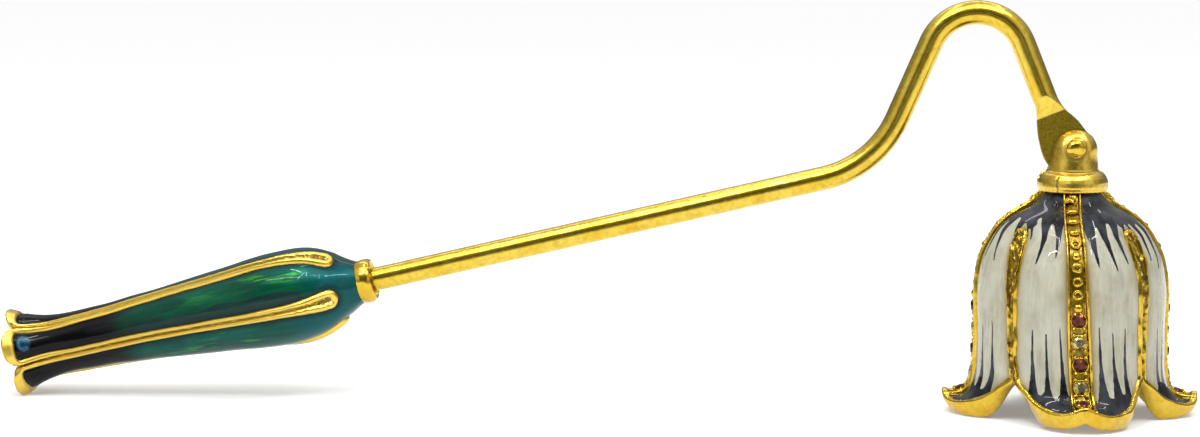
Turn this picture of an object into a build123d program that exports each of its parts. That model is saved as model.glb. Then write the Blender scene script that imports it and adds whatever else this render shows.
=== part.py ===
"""Tulip-shaped candle snuffer: an enamelled bud handle, a bent 5 mm rod whose end is flattened into a
blade, and a four-petal bell (cup) that pivots on the blade through a slotted, domed clevis.

Frame: millimetres, +Z up. The origin is the centre of the cup's mouth on the surface that the snuffer
stands on. The cup's axis is +Z. The rod and the handle lie in the plane Y = 0 and run towards -X.
At rest the cup stands on the eight small flats of its petals, and the handle's flared end
lies on the same surface.
"""

import math
import os

from build123d import *

os.makedirs("parts", exist_ok=True)

# ------------------------------------------------------------------ driving dimensions (mm)
ROD_D = 5.0                     # rod stock
PIN_X, PIN_Z = 0.0, 55.3        # hinge axis, along Y
PIN_R = 1.0                     # rivet shank
PIN_HEAD_R = 1.55               # rivet head, let into the ears
HOLE_R = 1.05                   # running hole in the blade, 0.05 mm radial clearance
BLADE_T = 2.2                   # blade thickness
SLOT_W = 2.5                    # slot between the clevis ears
SLOT_FLOOR_Z = 48.3             # bottom of the slot
COLLAR_Z = 46.05                # underside of the clevis, top of the cup's crown
COLLAR_R = 7.25                 # clevis collar
DOME_R, DOME_Z = 4.9, 53.8      # ears are the two halves of this dome
STUD_R = 2.0                    # threaded stud below the clevis
CROWN_T = 2.4                   # thickness of the cup's crown
WASHER_R, WASHER_T = 4.4, 0.8
NUT_AF, NUT_T = 7.0, 2.4
STUD_END_Z = 39.9

ENAMEL_T = 0.5                  # depth of the enamel in its recess
RIB_W_TOP, RIB_W_LIP = 3.6, 4.8      # width of the petals' middle rib, at the collar and at the lip
CHAN_W_TOP, CHAN_W_LIP = 2.3, 3.2    # channel between the rib's two rails
CHAN_DEPTH = 0.75
BEAD_R = 0.95
BEADS = 9
BEAD_PITCH = 2.6
STONE_R = 1.45
FIRST_STONE_Z = 21.9
STONE_PITCH = 4.5
PETAL_OFFSET = 5.0              # each petal is round about an axis this far out from the cup's own

HANDLE_A = (-147.67, 25.12)     # handle axis: face of the handle where the rod enters (x, z)
HANDLE_DIR = (-0.976878, -0.213795)  # towards the flared end
HANDLE_L = 78.9
BORE_DEPTH = 22.0
STRIP_ANGLES = [54.0 + 72.0 * k for k in range(5)]      # one strip straight down
STRIP_PROUD = 0.3
HANDLE_ENAMEL_T = 0.6

# ------------------------------------------------------------------ helpers


def spin(wire_edges, arc=360):
    """Solid of revolution about Z of a closed profile in the XZ plane."""
    return revolve(make_face(Wire(wire_edges)), Axis.Z, arc)


def curve(points):
    return Spline(*[(r, 0, z) for r, z in points])


def lines(points):
    return [Line((a[0], 0, a[1]), (b[0], 0, b[1])) for a, b in zip(points, points[1:])]


def offset_points(points, d):
    """Points moved by d along the normal that points away from the axis (for a profile that runs downwards)."""
    out = []
    for i, (r, z) in enumerate(points):
        a = points[max(i - 1, 0)]
        b = points[min(i + 1, len(points) - 1)]
        tr, tz = b[0] - a[0], b[1] - a[1]
        n = math.hypot(tr, tz)
        out.append((r - tz / n * d, z + tr / n * d))
    return out


def radial_prism(azimuth, points, r0, r1):
    """Prism of a (w, z) outline, w across and z up, run outwards along azimuth from r0 to r1."""
    a = math.radians(azimuth)
    rad = (math.cos(a), math.sin(a), 0)
    pl = Plane(origin=(rad[0] * r0, rad[1] * r0, 0), x_dir=(-math.sin(a), math.cos(a), 0), z_dir=rad)
    face = make_face(Polyline(*points, close=True))
    return extrude(pl * face, r1 - r0)


def dome(r, z_edge, z_axis):
    """Arc of a sphere centred on the axis, from the edge at radius r to the axis."""
    h = z_axis - z_edge
    big = (r * r + h * h) / (2 * abs(h))
    c = z_axis - math.copysign(big, h)
    half = math.asin(r / big) / 2
    return ThreePointArc((r, 0, z_edge), (big * math.sin(half), 0, c + math.copysign(big * math.cos(half), h)), (0, 0, z_axis))


def save(name, shape):
    shape.label = name
    export_step(shape, os.path.join("parts", name + ".step"))


# ------------------------------------------------------------------ cup: profiles (r, z), collar to lip
# enamel surface on a petal's middle line
BASE = [
    (7.25, 45.6), (8.5, 43.75), (10.35, 42.45), (12.2, 41.2), (13.75, 39.95), (15.05, 38.7), (15.9, 37.5),
    (17.05, 35.5), (18.35, 32.7), (18.95, 30.3), (19.3, 27.9), (19.5, 25.4), (19.5, 22.9), (19.4, 19.1),
    (19.43, 15.0), (19.5, 11.5), (19.75, 8.6), (20.45, 6.6), (21.7, 5.0), (23.3, 3.9), (25.4, 3.1),
]
# how far the surface draws in at the valleys between the petals, from the collar down to the notches
VALLEY_K = [1.0, 0.997, 0.99, 0.975, 0.96, 0.945, 0.935, 0.925, 0.92, 0.92, 0.92, 0.92, 0.92, 0.92, 0.92, 0.92, 0.92]
CORE = [(r * k, z) for (r, z), k in zip(BASE, VALLEY_K)]
# the middle rib's rails, which stand proud of the enamel
RIB = [
    (7.25, 46.05), (8.85, 44.25), (10.75, 42.95), (12.6, 41.65), (14.15, 40.35), (15.45, 39.1), (16.35, 37.8),
    (17.5, 35.8), (18.85, 32.9), (19.45, 30.4), (19.8, 27.9), (20.0, 25.4), (20.0, 22.9), (19.9, 19.1),
    (19.93, 15.0), (20.0, 11.5), (20.25, 9.0), (20.95, 7.3), (22.2, 6.0), (24.0, 5.1), (26.2, 4.5),
]
# inner wall of the cup, and the underside of the flared lip
INNER = [
    (6.6, 43.65), (8.4, 42.35), (10.4, 40.6), (12.0, 38.6), (13.3, 36.3), (14.6, 33.0), (15.4, 30.0),
    (15.85, 27.0), (16.1, 23.0), (16.15, 17.0), (16.3, 11.0), (16.7, 7.5), (17.4, 4.2), (18.6, 1.6), (20.3, 0.15),
]
UNDER = [(24.4, 0.55), (23.0, 0.05), (21.6, -0.12), (20.3, 0.15), (18.6, 1.6)]
CROWN_Z_IN = COLLAR_Z - CROWN_T

# half width of a petal against height: the notches between the petals open below the first point
HALF = [(12.5, 9.4), (12.35, 8.6), (11.8, 6.9), (11.2, 5.4), (10.4, 4.0), (9.2, 2.7), (7.9, 1.5), (6.9, 0.3), (6.6, -4.0)]
# cupid's-bow notch under the middle of a petal
BOW = [(-3.9, -4), (-3.3, 0.1), (-2.4, 0.9), (-1.2, 1.7), (0, 2.0), (1.2, 1.7), (2.4, 0.9), (3.3, 0.1), (3.9, -4)]
RIM_W = 1.2                    # gold rim round each petal's enamel
# head, ridge and flare of the gold strip in the valley
VALLEY = [(0.0, 39.4), (0.9, 39.0), (1.45, 37.9), (1.7, 36.0), (1.6, 32.0), (1.5, 28.0), (1.5, 14.0), (1.7, 11.5),
          (2.4, 9.5), (3.3, 8.0), (5, 5), (5, -1.0)]
valley_pts = [(-w, z) for w, z in reversed(VALLEY)] + VALLEY[1:]


def rib_points(top_w, lip_w, top=50.0, bottom=-3.0):
    mid = top_w / 2 + (lip_w - top_w) * 0.18
    return [(-lip_w / 2, bottom), (lip_w / 2, bottom), (lip_w / 2, 14.0), (mid, 34.0), (top_w / 2, 41.0),
            (top_w / 2, top), (-top_w / 2, top), (-top_w / 2, 41.0), (-mid, 34.0), (-lip_w / 2, 14.0)]


def about_petal(edges):
    """Solid of revolution about the axis of the petal that points along +X."""
    return Pos(PETAL_OFFSET, 0, 0) * spin(edges)


def side_cut(inset):
    """What lies beside the petal, drawn in by inset."""
    pts = [(w - inset, z + inset * 0.25) for w, z in HALF]
    pts[-1] = (pts[-1][0], -4.0)
    if inset:
        pts = [(12.9, 11.5)] + pts
    return radial_prism(0, [(30, pts[0][1])] + pts + [(30, -4)], 12.4 - inset * 0.6, 40)


def mirror_half(shape):
    """The other half of the quarter: mirrored in the valley's plane, 45 degrees round."""
    return shape.mirror(Plane.XZ).rotate(Axis.Z, 90)


# ------------------------------------------------------------------ cup: one eighth, 0 to 45 degrees
petal_pts = [(r - PETAL_OFFSET, z) for r, z in BASE]
under_pts = [(r - PETAL_OFFSET, z) for r, z in UNDER]
petal = about_petal([
    Line((0, 0, petal_pts[0][1]), (petal_pts[0][0], 0, petal_pts[0][1])),
    curve(petal_pts),
    ThreePointArc((petal_pts[-1][0], 0, petal_pts[-1][1]), (petal_pts[-1][0] + 0.25, 0, 1.75),
                  (under_pts[0][0], 0, under_pts[0][1])),
    curve(under_pts),
    Line((under_pts[-1][0], 0, under_pts[-1][1]), (0, 0, under_pts[-1][1])),
    Line((0, 0, under_pts[-1][1]), (0, 0, petal_pts[0][1])),
])
middle = spin([
    Line((0, 0, COLLAR_Z), (CORE[0][0], 0, COLLAR_Z)),
    Line((CORE[0][0], 0, COLLAR_Z), (CORE[0][0], 0, CORE[0][1])),
    curve(CORE),
    Line((CORE[-1][0], 0, CORE[-1][1]), (CORE[-1][0], 0, 4)),
    Line((CORE[-1][0], 0, 4), (0, 0, 4)),
    Line((0, 0, 4), (0, 0, COLLAR_Z)),
])
wedge = extrude(make_face(Polyline((0, 0), (60, 0), (60, 60), close=True)), 80, both=True)
outer = (petal & wedge) + (middle & wedge)
outer = outer - side_cut(0) - radial_prism(0, BOW, 18.5, 40)

cavity = spin([
    Line((0, 0, CROWN_Z_IN), (INNER[0][0], 0, CROWN_Z_IN)),
    curve(INNER),
    Line((INNER[-1][0], 0, INNER[-1][1]), (INNER[-1][0] + 0.3, 0, -8)),
    Line((INNER[-1][0] + 0.3, 0, -8), (0, 0, -8)),
    Line((0, 0, -8), (0, 0, CROWN_Z_IN)),
])

# what lies under the enamel, which stops short of the collar and of the lip's edge
skin_pts = [(r - PETAL_OFFSET, z) for r, z in offset_points(BASE, -ENAMEL_T)[:-1]]
edge_r = skin_pts[-1][0] + 0.55
below_petal = about_petal([
    Line((0, 0, skin_pts[0][1]), (skin_pts[0][0], 0, skin_pts[0][1])),
    curve(skin_pts),
    Line((skin_pts[-1][0], 0, skin_pts[-1][1]), (edge_r, 0, 7.0)),
    Line((edge_r, 0, 7.0), (30, 0, 7.0)),
    Line((30, 0, 7.0), (30, 0, -9)),
    Line((30, 0, -9), (0, 0, -9)),
    Line((0, 0, -9), (0, 0, skin_pts[0][1])),
])
core_pts = offset_points(CORE, -ENAMEL_T)[1:]
below_core = spin([
    Line((0, 0, 50), (core_pts[0][0] + 0.5, 0, 50)),
    Line((core_pts[0][0] + 0.5, 0, 50), (core_pts[0][0], 0, core_pts[0][1])),
    curve(core_pts),
    Line((core_pts[-1][0], 0, core_pts[-1][1]), (core_pts[-1][0], 0, 2)),
    Line((core_pts[-1][0], 0, 2), (0, 0, 2)),
    Line((0, 0, 2), (0, 0, 50)),
])
rib_prism = radial_prism(0, rib_points(RIB_W_TOP, RIB_W_LIP), 3.0, 40)
enamel = outer - below_petal - below_core - rib_prism - radial_prism(45, valley_pts, 6.0, 40) - side_cut(RIM_W)
eighth = (outer - cavity) - enamel - rib_prism

quarter_enamel = enamel + mirror_half(enamel)
quarter = eighth + mirror_half(eighth)
print("enamel solids", len(quarter_enamel.solids()), "quarter solids", len(quarter.solids()))
QUARTERS = ["back_right", "back_left", "front_left", "front_right"]
for k, name in enumerate(QUARTERS):
    save("petal_enamel_" + name, quarter_enamel.rotate(Axis.Z, 90 * k))

# ------------------------------------------------------------------ cup: a petal's rib with its beads and stones
rib_ring = spin([
    Line((3.0, 0, CROWN_Z_IN), (3.0, 0, COLLAR_Z)),
    Line((3.0, 0, COLLAR_Z), (RIB[0][0], 0, RIB[0][1])),
    curve(RIB),
    ThreePointArc((RIB[-1][0], 0, RIB[-1][1]), (26.3, 0, 3.1), (UNDER[0][0] + 0.35, 0, UNDER[0][1] + 0.5)),
    Line((UNDER[0][0] + 0.35, 0, UNDER[0][1] + 0.5), (UNDER[0][0], 0, UNDER[0][1])),
    curve(UNDER[:4]),
    curve(list(reversed(INNER))),
    Line((INNER[0][0], 0, CROWN_Z_IN), (3.0, 0, CROWN_Z_IN)),
])
floor_pts = offset_points(RIB, -CHAN_DEPTH)
above_pts = offset_points(RIB, 1.5)
channel = spin([
    curve(above_pts[1:-1]),
    Line((above_pts[-2][0], 0, above_pts[-2][1]), (floor_pts[-2][0], 0, floor_pts[-2][1])),
    curve(list(reversed(floor_pts[1:-1]))),
    Line((floor_pts[1][0], 0, floor_pts[1][1]), (above_pts[1][0], 0, above_pts[1][1])),
]) & radial_prism(0, rib_points(CHAN_W_TOP, CHAN_W_LIP, 49, -2), 2.9, 39)
rib = (rib_ring & rib_prism) - channel - radial_prism(0, BOW, 18.5, 40)

# places along the rib, by length down the channel's floor
floor_curve = curve(floor_pts[1:-1])
FL = floor_curve.length


def at_length(d):
    """Point, and outward normal, at d mm down the channel's floor."""
    u = min(max(d / FL, 0.0), 1.0)
    p = floor_curve @ u
    t = floor_curve % u
    return (p.X, p.Z), (-t.Z, t.X)


def length_at_z(z):
    best = min(range(0, 2001), key=lambda i: abs((floor_curve @ (i / 2000)).Z - z))
    return best / 2000 * FL


first_stone = length_at_z(FIRST_STONE_Z)
stone_lengths = [first_stone + STONE_PITCH * i for i in range(5)]
last_bead = first_stone - 2.75
bead_lengths = [last_bead - BEAD_PITCH * i for i in range(BEADS)]
grain_lengths = [bead_lengths[-1] - 1.75, bead_lengths[-1] - 2.85]


def stone_blank():
    """Round faceted stone: girdle, bevelled crown and flat table, on its seat."""
    pts = [(0, -0.05), (STONE_R * 0.72, -0.05), (STONE_R, 0.35), (STONE_R, 0.62), (STONE_R * 0.62, 1.12), (0, 1.12)]
    return spin(lines(pts + [pts[0]]))


def place(shape, d, lift=0.0):
    (r, z), (nr, nz) = at_length(d)
    pl = Plane(origin=(r + nr * lift, 0, z + nz * lift), x_dir=(0, 1, 0), z_dir=(nr, 0, nz))
    return pl.location * shape


blank = stone_blank()
stones = [place(blank, d) for d in stone_lengths]
for stone in stones:
    rib = rib - stone
beads = [place(Sphere(BEAD_R if i < BEADS - 2 else BEAD_R - 0.1), d, lift=0.22) for i, d in enumerate(bead_lengths)]
beads += [place(Sphere(0.5), d, lift=0.15) for d in grain_lengths]
rib = rib.fuse(*beads)
print("rib solids", len(rib.solids()))

# ------------------------------------------------------------------ cup: the whole casting
casting = quarter.fuse(*[quarter.rotate(Axis.Z, 90 * k) for k in (1, 2, 3)])
casting = casting.fuse(*[rib.rotate(Axis.Z, 90 * k) for k in range(4)])
casting = casting - Pos(0, 0, 44) * Cylinder(STUD_R, 12)          # hole for the clevis stud
casting = casting - Pos(0, 0, -10) * Box(90, 90, 20)              # flat feet
print("casting solids", len(casting.solids()))
save("cup_casting", casting)

# petals: right (+X), back (+Y), left (-X, over the rod), front (-Y)
for k, name in enumerate(["right", "back", "left", "front"]):
    save("red_stones_" + name, Compound([x.rotate(Axis.Z, 90 * k).solid() for x in stones[0::2]]))
    save("clear_stones_" + name, Compound([x.rotate(Axis.Z, 90 * k).solid() for x in stones[1::2]]))

# ------------------------------------------------------------------ clevis, rivet, stud nut and washer
clevis = spin([
    Line((0, 0, COLLAR_Z), (COLLAR_R - 0.15, 0, COLLAR_Z)),
    Spline((COLLAR_R - 0.15, 0, COLLAR_Z), (COLLAR_R, 0, 46.7), (7.12, 0, 47.7), (6.8, 0, 48.6), (6.3, 0, 49.4),
           (5.75, 0, 49.9), (5.5, 0, 50.05)),
    Spline((5.5, 0, 50.05), (5.38, 0, 50.5), (5.3, 0, 51.1), (5.1, 0, 52.2), (DOME_R, 0, DOME_Z)),
    ThreePointArc((DOME_R, 0, DOME_Z),
                  (DOME_R * math.cos(math.radians(45)), 0, DOME_Z + DOME_R * math.sin(math.radians(45))),
                  (0, 0, DOME_Z + DOME_R)),
    Line((0, 0, DOME_Z + DOME_R), (0, 0, COLLAR_Z)),
])
clevis = clevis - Pos(0, 0, SLOT_FLOOR_Z + 10) * Box(30, SLOT_W, 20)
stud = Pos(0, 0, (COLLAR_Z + 0.5 + STUD_END_Z) / 2) * Cylinder(STUD_R, COLLAR_Z + 0.5 - STUD_END_Z)
stud = chamfer(stud.edges().group_by(Axis.Z)[0], 0.4)
clevis = clevis + stud
pin_bore = Pos(PIN_X, 0, PIN_Z) * Rot(90, 0, 0) * Cylinder(PIN_R, 20)
HEAD_SEAT = 4.05
head_seats = [Pos(PIN_X, s * (HEAD_SEAT + 2), PIN_Z) * Rot(90, 0, 0) * Cylinder(PIN_HEAD_R, 4) for s in (-1, 1)]
clevis = clevis - pin_bore
for h in head_seats:
    clevis = clevis - h
save("clevis", clevis)

half_pin = spin([
    Line((0, 0, 0), (PIN_R, 0, 0)),
    Line((PIN_R, 0, 0), (PIN_R, 0, HEAD_SEAT)),
    Line((PIN_R, 0, HEAD_SEAT), (PIN_HEAD_R, 0, HEAD_SEAT)),
    Line((PIN_HEAD_R, 0, HEAD_SEAT), (PIN_HEAD_R, 0, HEAD_SEAT + 0.3)),
    dome(PIN_HEAD_R, HEAD_SEAT + 0.3, HEAD_SEAT + 0.65),
    Line((0, 0, HEAD_SEAT + 0.65), (0, 0, 0)),
])
pin = half_pin + half_pin.mirror(Plane.XY)
save("hinge_pin", Pos(PIN_X, 0, PIN_Z) * Rot(90, 0, 0) * pin)

washer = Pos(0, 0, CROWN_Z_IN - WASHER_T / 2) * (Cylinder(WASHER_R, WASHER_T) - Cylinder(STUD_R, WASHER_T * 2))
save("stud_washer", washer)
nut = extrude(Pos(0, 0, 0) * RegularPolygon(NUT_AF / 2, 6, major_radius=False), NUT_T)
nut_cone = spin(lines([(0, 0), (3.55, 0), (4.1, 0.35), (4.1, NUT_T - 0.35), (3.55, NUT_T), (0, NUT_T), (0, 0)]))
nut = (nut & nut_cone) - Pos(0, 0, NUT_T / 2) * Cylinder(STUD_R, NUT_T * 2)
save("stud_nut", Pos(0, 0, CROWN_Z_IN - WASHER_T - NUT_T) * nut)

# ------------------------------------------------------------------ rod with flattened blade
C_DIR = (0.3746, -0.9272)                 # last leg of the rod, down to the blade
Q0 = (-2.06, 55.3)                        # the leg's line passes here


def on_leg(s):
    """Point on the last leg, s mm back up the rod from Q0."""
    return (Q0[0] - C_DIR[0] * s, Q0[1] - C_DIR[1] * s)


tenon_end = (HANDLE_A[0] + HANDLE_DIR[0] * (BORE_DEPTH - 1.0), HANDLE_A[1] + HANDLE_DIR[1] * (BORE_DEPTH - 1.0))
elbow0 = (HANDLE_A[0] + 4.4, HANDLE_A[1] + 4.4 * 0.21886)
leg_end = on_leg(4.6)
route = [tenon_end, elbow0, (-40.28, 50.60), (-19.63, 98.76), leg_end]
path = FilletPolyline(*[(x, 0, z) for x, z in route], radius=[60.0, 21.9, 10.15])
rod = sweep(Plane(origin=path @ 0, z_dir=path % 0) * Circle(ROD_D / 2), path=path)

outline = [
    (-7.95, 63.6), (-7.6, 61.0), (-7.45, 58.5), (-6.95, 55.6), (-6.15, 53.0), (-4.9, 51.05), (-3.1, 49.95),
    (-1.0, 49.65), (1.2, 50.2), (3.0, 51.6), (3.95, 53.6), (3.95, 55.6), (3.2, 57.4), (2.05, 59.0), (0.75, 60.6),
    (-0.6, 61.8), (-1.9, 62.95), (-2.85, 64.3), (-3.55, 65.6),
]
blade_plan = make_face(Wire([Spline(*[(x, 0, z) for x, z in outline]),
                             Line((outline[-1][0], 0, outline[-1][1]), (outline[0][0], 0, outline[0][1]))]))
blade = extrude(blade_plan, amount=2.2, dir=(0, 1, 0), both=True)
rod = rod + blade
# the rod's end is pressed flat: two sloping facets, then the blade's parallel faces
FACET_TOP, FACET_END = 11.4, 6.9
for side in (-1, 1):
    pl = Plane(origin=(Q0[0], 0, Q0[1]), x_dir=(0, side, 0), z_dir=(-C_DIR[1] * side, 0, C_DIR[0] * side))
    press = [(BLADE_T / 2, -9.0), (BLADE_T / 2, FACET_END), (ROD_D / 2 + 0.1, FACET_TOP), (6.0, FACET_TOP), (6.0, -9.0)]
    wedge_face = pl * make_face(Polyline(*press, close=True))
    rod = rod - extrude(wedge_face, 13, both=True)
rod = rod - Pos(PIN_X, 0, PIN_Z) * Rot(90, 0, 0) * Cylinder(HOLE_R, 20)
print("rod solids", len(rod.solids()), "volume", rod.volume)
save("rod", rod)

# ------------------------------------------------------------------ handle (built along its own axis, s = Z)
handle_plane = Plane(origin=(HANDLE_A[0], 0, HANDLE_A[1]), x_dir=(0, -1, 0), z_dir=(HANDLE_DIR[0], 0, HANDLE_DIR[1]))
HP = [
    (4.35, 1.4), (5.15, 2.9), (6.3, 4.6), (7.55, 6.5), (8.7, 8.9), (9.4, 11.4), (9.85, 16.5), (9.65, 22.0),
    (9.1, 27.5), (8.5, 33.0), (7.95, 39.0), (7.4, 44.5), (6.95, 50.0), (6.55, 55.3), (6.3, 60.8), (6.1, 66.4),
    (6.3, 69.5), (6.75, 72.0), (7.5, 74.6), (8.35, 76.6),
]
HP_END = [(8.7, 77.6), (8.45, 78.4), (7.5, HANDLE_L)]   # rounded rim of the flared end
E0, E1 = 1, 18                       # the enamel runs from HP[E0] to HP[E1]


def ring_between(grow_in, grow_out, i0, i1):
    """Ring between the handle's outline grown by grow_in and by grow_out, from HP[i0] to HP[i1]."""
    inner = [(r + grow_in, s) for r, s in HP[i0:i1 + 1]]
    outer = [(r + grow_out, s) for r, s in HP[i0:i1 + 1]]
    return spin([curve(outer), Line((outer[-1][0], 0, outer[-1][1]), (inner[-1][0], 0, inner[-1][1])),
                 curve(list(reversed(inner))), Line((inner[0][0], 0, inner[0][1]), (outer[0][0], 0, outer[0][1]))])


rim = (HP + HP_END)
full = spin([
    Line((0, 0, rim[0][1]), (rim[0][0], 0, rim[0][1])),
    curve(rim),
    dome(rim[-1][0], rim[-1][1], 76.2),           # shallow dish in the end
    Line((0, 0, 76.2), (0, 0, rim[0][1])),
])
recess = ring_between(-HANDLE_ENAMEL_T, 3.0, E0, E1)
band = ring_between(-1.2, STRIP_PROUD, E0, E1 + 1)
strip_half = [(0.0, 4.3), (1.2, 4.6), (2.0, 5.5), (2.4, 7.0), (2.4, 9.0), (2.15, 11.5), (1.8, 15.0), (1.45, 20.0),
              (1.25, 26.0), (1.2, 34.0), (1.2, 50.0), (1.3, 62.0), (1.4, 70.0), (1.7, 73.0), (2.0, 75.6)]
strip_pts = [(-w, s) for w, s in reversed(strip_half)] + strip_half[1:]
strips = [radial_prism(a, strip_pts, 2.9, 14) for a in STRIP_ANGLES]
core = full - recess
for s in strips:
    core = core + (band & s)
    recess = recess - s
handle_enamel = full & recess
# notches between the five lobes of the flared end
END_NOTCH = [(0, 76.9), (0.8, 77.3), (1.8, 79.2), (2.4, 82.0), (-2.4, 82.0), (-1.8, 79.2), (-0.8, 77.3)]
for a in STRIP_ANGLES:
    core = core - radial_prism(a, END_NOTCH, 4.0, 14)
core = core - Pos(0, 0, (BORE_DEPTH) / 2) * Cylinder(ROD_D / 2, BORE_DEPTH)
print("core solids", len(core.solids()), "enamel solids", len(handle_enamel.solids()))
save("handle_core", handle_plane.location * core)
save("handle_enamel", handle_plane.location * handle_enamel)

ferrule = spin([
    Line((ROD_D / 2, 0, 1.4), (4.1, 0, 1.4)),
    Spline((4.1, 0, 1.4), (4.65, 0, 0.9), (4.8, 0, -0.1), (4.45, 0, -1.2), (3.7, 0, -1.75), (3.15, 0, -1.75)),
    Line((3.15, 0, -1.75), (ROD_D / 2 + 0.12, 0, -1.2)),
    Line((ROD_D / 2 + 0.12, 0, -1.2), (ROD_D / 2, 0, -0.9)),
    Line((ROD_D / 2, 0, -0.9), (ROD_D / 2, 0, 1.4)),
])
save("handle_ferrule", handle_plane.location * ferrule)
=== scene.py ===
"""Looks of a tulip-shaped candle snuffer: gold casting with pearl enamel petals, gold gooseneck rod and a
green enamelled bud handle. Meshes are worked out in millimetres and made in metres. The frame's +Z is up,
the cup's axis is Z, the arm runs towards -X and the photographed side looks towards -Y.
"""

import math

import bmesh
import bpy
import numpy as np
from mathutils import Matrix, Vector


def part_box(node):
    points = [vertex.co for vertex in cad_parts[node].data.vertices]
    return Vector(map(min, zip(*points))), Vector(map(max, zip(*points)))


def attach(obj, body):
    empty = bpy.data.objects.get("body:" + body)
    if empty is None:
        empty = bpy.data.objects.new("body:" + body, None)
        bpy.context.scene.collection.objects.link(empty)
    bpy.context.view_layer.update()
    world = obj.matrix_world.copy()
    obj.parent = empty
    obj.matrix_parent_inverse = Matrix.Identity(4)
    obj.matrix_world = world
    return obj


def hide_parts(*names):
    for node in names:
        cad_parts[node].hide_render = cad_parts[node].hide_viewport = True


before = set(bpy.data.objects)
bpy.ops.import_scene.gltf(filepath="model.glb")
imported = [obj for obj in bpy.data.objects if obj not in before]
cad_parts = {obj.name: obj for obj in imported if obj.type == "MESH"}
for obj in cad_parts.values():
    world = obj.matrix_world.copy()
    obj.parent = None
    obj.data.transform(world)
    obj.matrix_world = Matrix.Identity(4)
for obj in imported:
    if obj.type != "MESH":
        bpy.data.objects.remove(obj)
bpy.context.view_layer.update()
MM = 0.001

# ------------------------------------------------------------------ small mathematics


class Cubic:
    """Natural cubic spline through (x, y)."""

    def __init__(self, x, y):
        self.x, self.y = np.asarray(x, float), np.asarray(y, float)
        h, n = np.diff(self.x), len(self.x)
        a, b = np.zeros((n, n)), np.zeros(n)
        a[0, 0] = a[-1, -1] = 1
        for i in range(1, n - 1):
            a[i, i - 1], a[i, i], a[i, i + 1] = h[i - 1], 2 * (h[i - 1] + h[i]), h[i]
            b[i] = 6 * ((self.y[i + 1] - self.y[i]) / h[i] - (self.y[i] - self.y[i - 1]) / h[i - 1])
        self.m, self.h = np.linalg.solve(a, b), h

    def __call__(self, q):
        q = np.asarray(q, float)
        i = np.clip(np.searchsorted(self.x, q) - 1, 0, len(self.h) - 1)
        h, d, e = self.h[i], q - self.x[i], self.x[i + 1] - q
        return (self.m[i] * e ** 3 / (6 * h) + self.m[i + 1] * d ** 3 / (6 * h)
                + (self.y[i] / h - self.m[i] * h / 6) * e + (self.y[i + 1] / h - self.m[i + 1] * h / 6) * d)


def step(a, b, x):
    t = np.clip((np.asarray(x, float) - a) / (b - a), 0, 1)
    return t * t * (3 - 2 * t)


def smax(a, b, k):
    h = np.maximum(k - np.abs(a - b), 0) / k
    return np.maximum(a, b) + h * h * k / 4


def waves(p, scale, seed, n=22):
    """Smooth seeded noise of about unit size over points p, with features of about scale mm."""
    rng = np.random.RandomState(seed)
    k = rng.normal(size=(n, 3))
    k *= (2 * math.pi / scale) * rng.uniform(0.55, 1.3, (n, 1)) / np.linalg.norm(k, axis=1, keepdims=True)
    return np.sin(p @ k.T + rng.uniform(0, 6.283, n)).sum(1) * math.sqrt(2 / n)


def wave1(x, scale, seed, n=9):
    rng = np.random.RandomState(seed)
    k = 2 * math.pi / scale * rng.uniform(0.4, 1.5, n)
    return np.sin(np.multiply.outer(x, k) + rng.uniform(0, 6.283, n)).sum(-1) * math.sqrt(2 / n)


def to_polyline(p, line):
    """Distance from points p to a polyline, and the length along it of the nearest place."""
    a, b = line[:-1], line[1:]
    d = b - a
    ln = np.maximum(np.linalg.norm(d, axis=1), 1e-9)
    start = np.concatenate([[0], np.cumsum(ln)[:-1]])
    dist, place = np.empty(len(p)), np.empty(len(p))
    for i in range(0, len(p), 4000):
        q = p[i:i + 4000, None] - a[None]
        t = np.clip((q * d[None]).sum(2) / (ln * ln)[None], 0, 1)
        e = np.linalg.norm(q - t[..., None] * d[None], axis=2)
        j = e.argmin(1)
        r = np.arange(len(j))
        dist[i:i + 4000] = e[r, j]
        place[i:i + 4000] = start[j] + t[r, j] * ln[j]
    return dist, place


def unit(v):
    return v / np.maximum(np.linalg.norm(v, axis=-1, keepdims=True), 1e-12)


def grid_faces(rows, cols, at=0, wrap=False):
    """Triangles of a rows x cols grid of vertices numbered row by row from at."""
    i = np.arange(rows - 1)[:, None] * cols
    j = np.arange(cols if wrap else cols - 1)[None]
    k = (j + 1) % cols
    a, b, c, d = (i + j).ravel(), (i + k).ravel(), (i + cols + k).ravel(), (i + cols + j).ravel()
    return np.concatenate([np.stack([a, b, c], 1), np.stack([a, c, d], 1)]) + at


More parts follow.
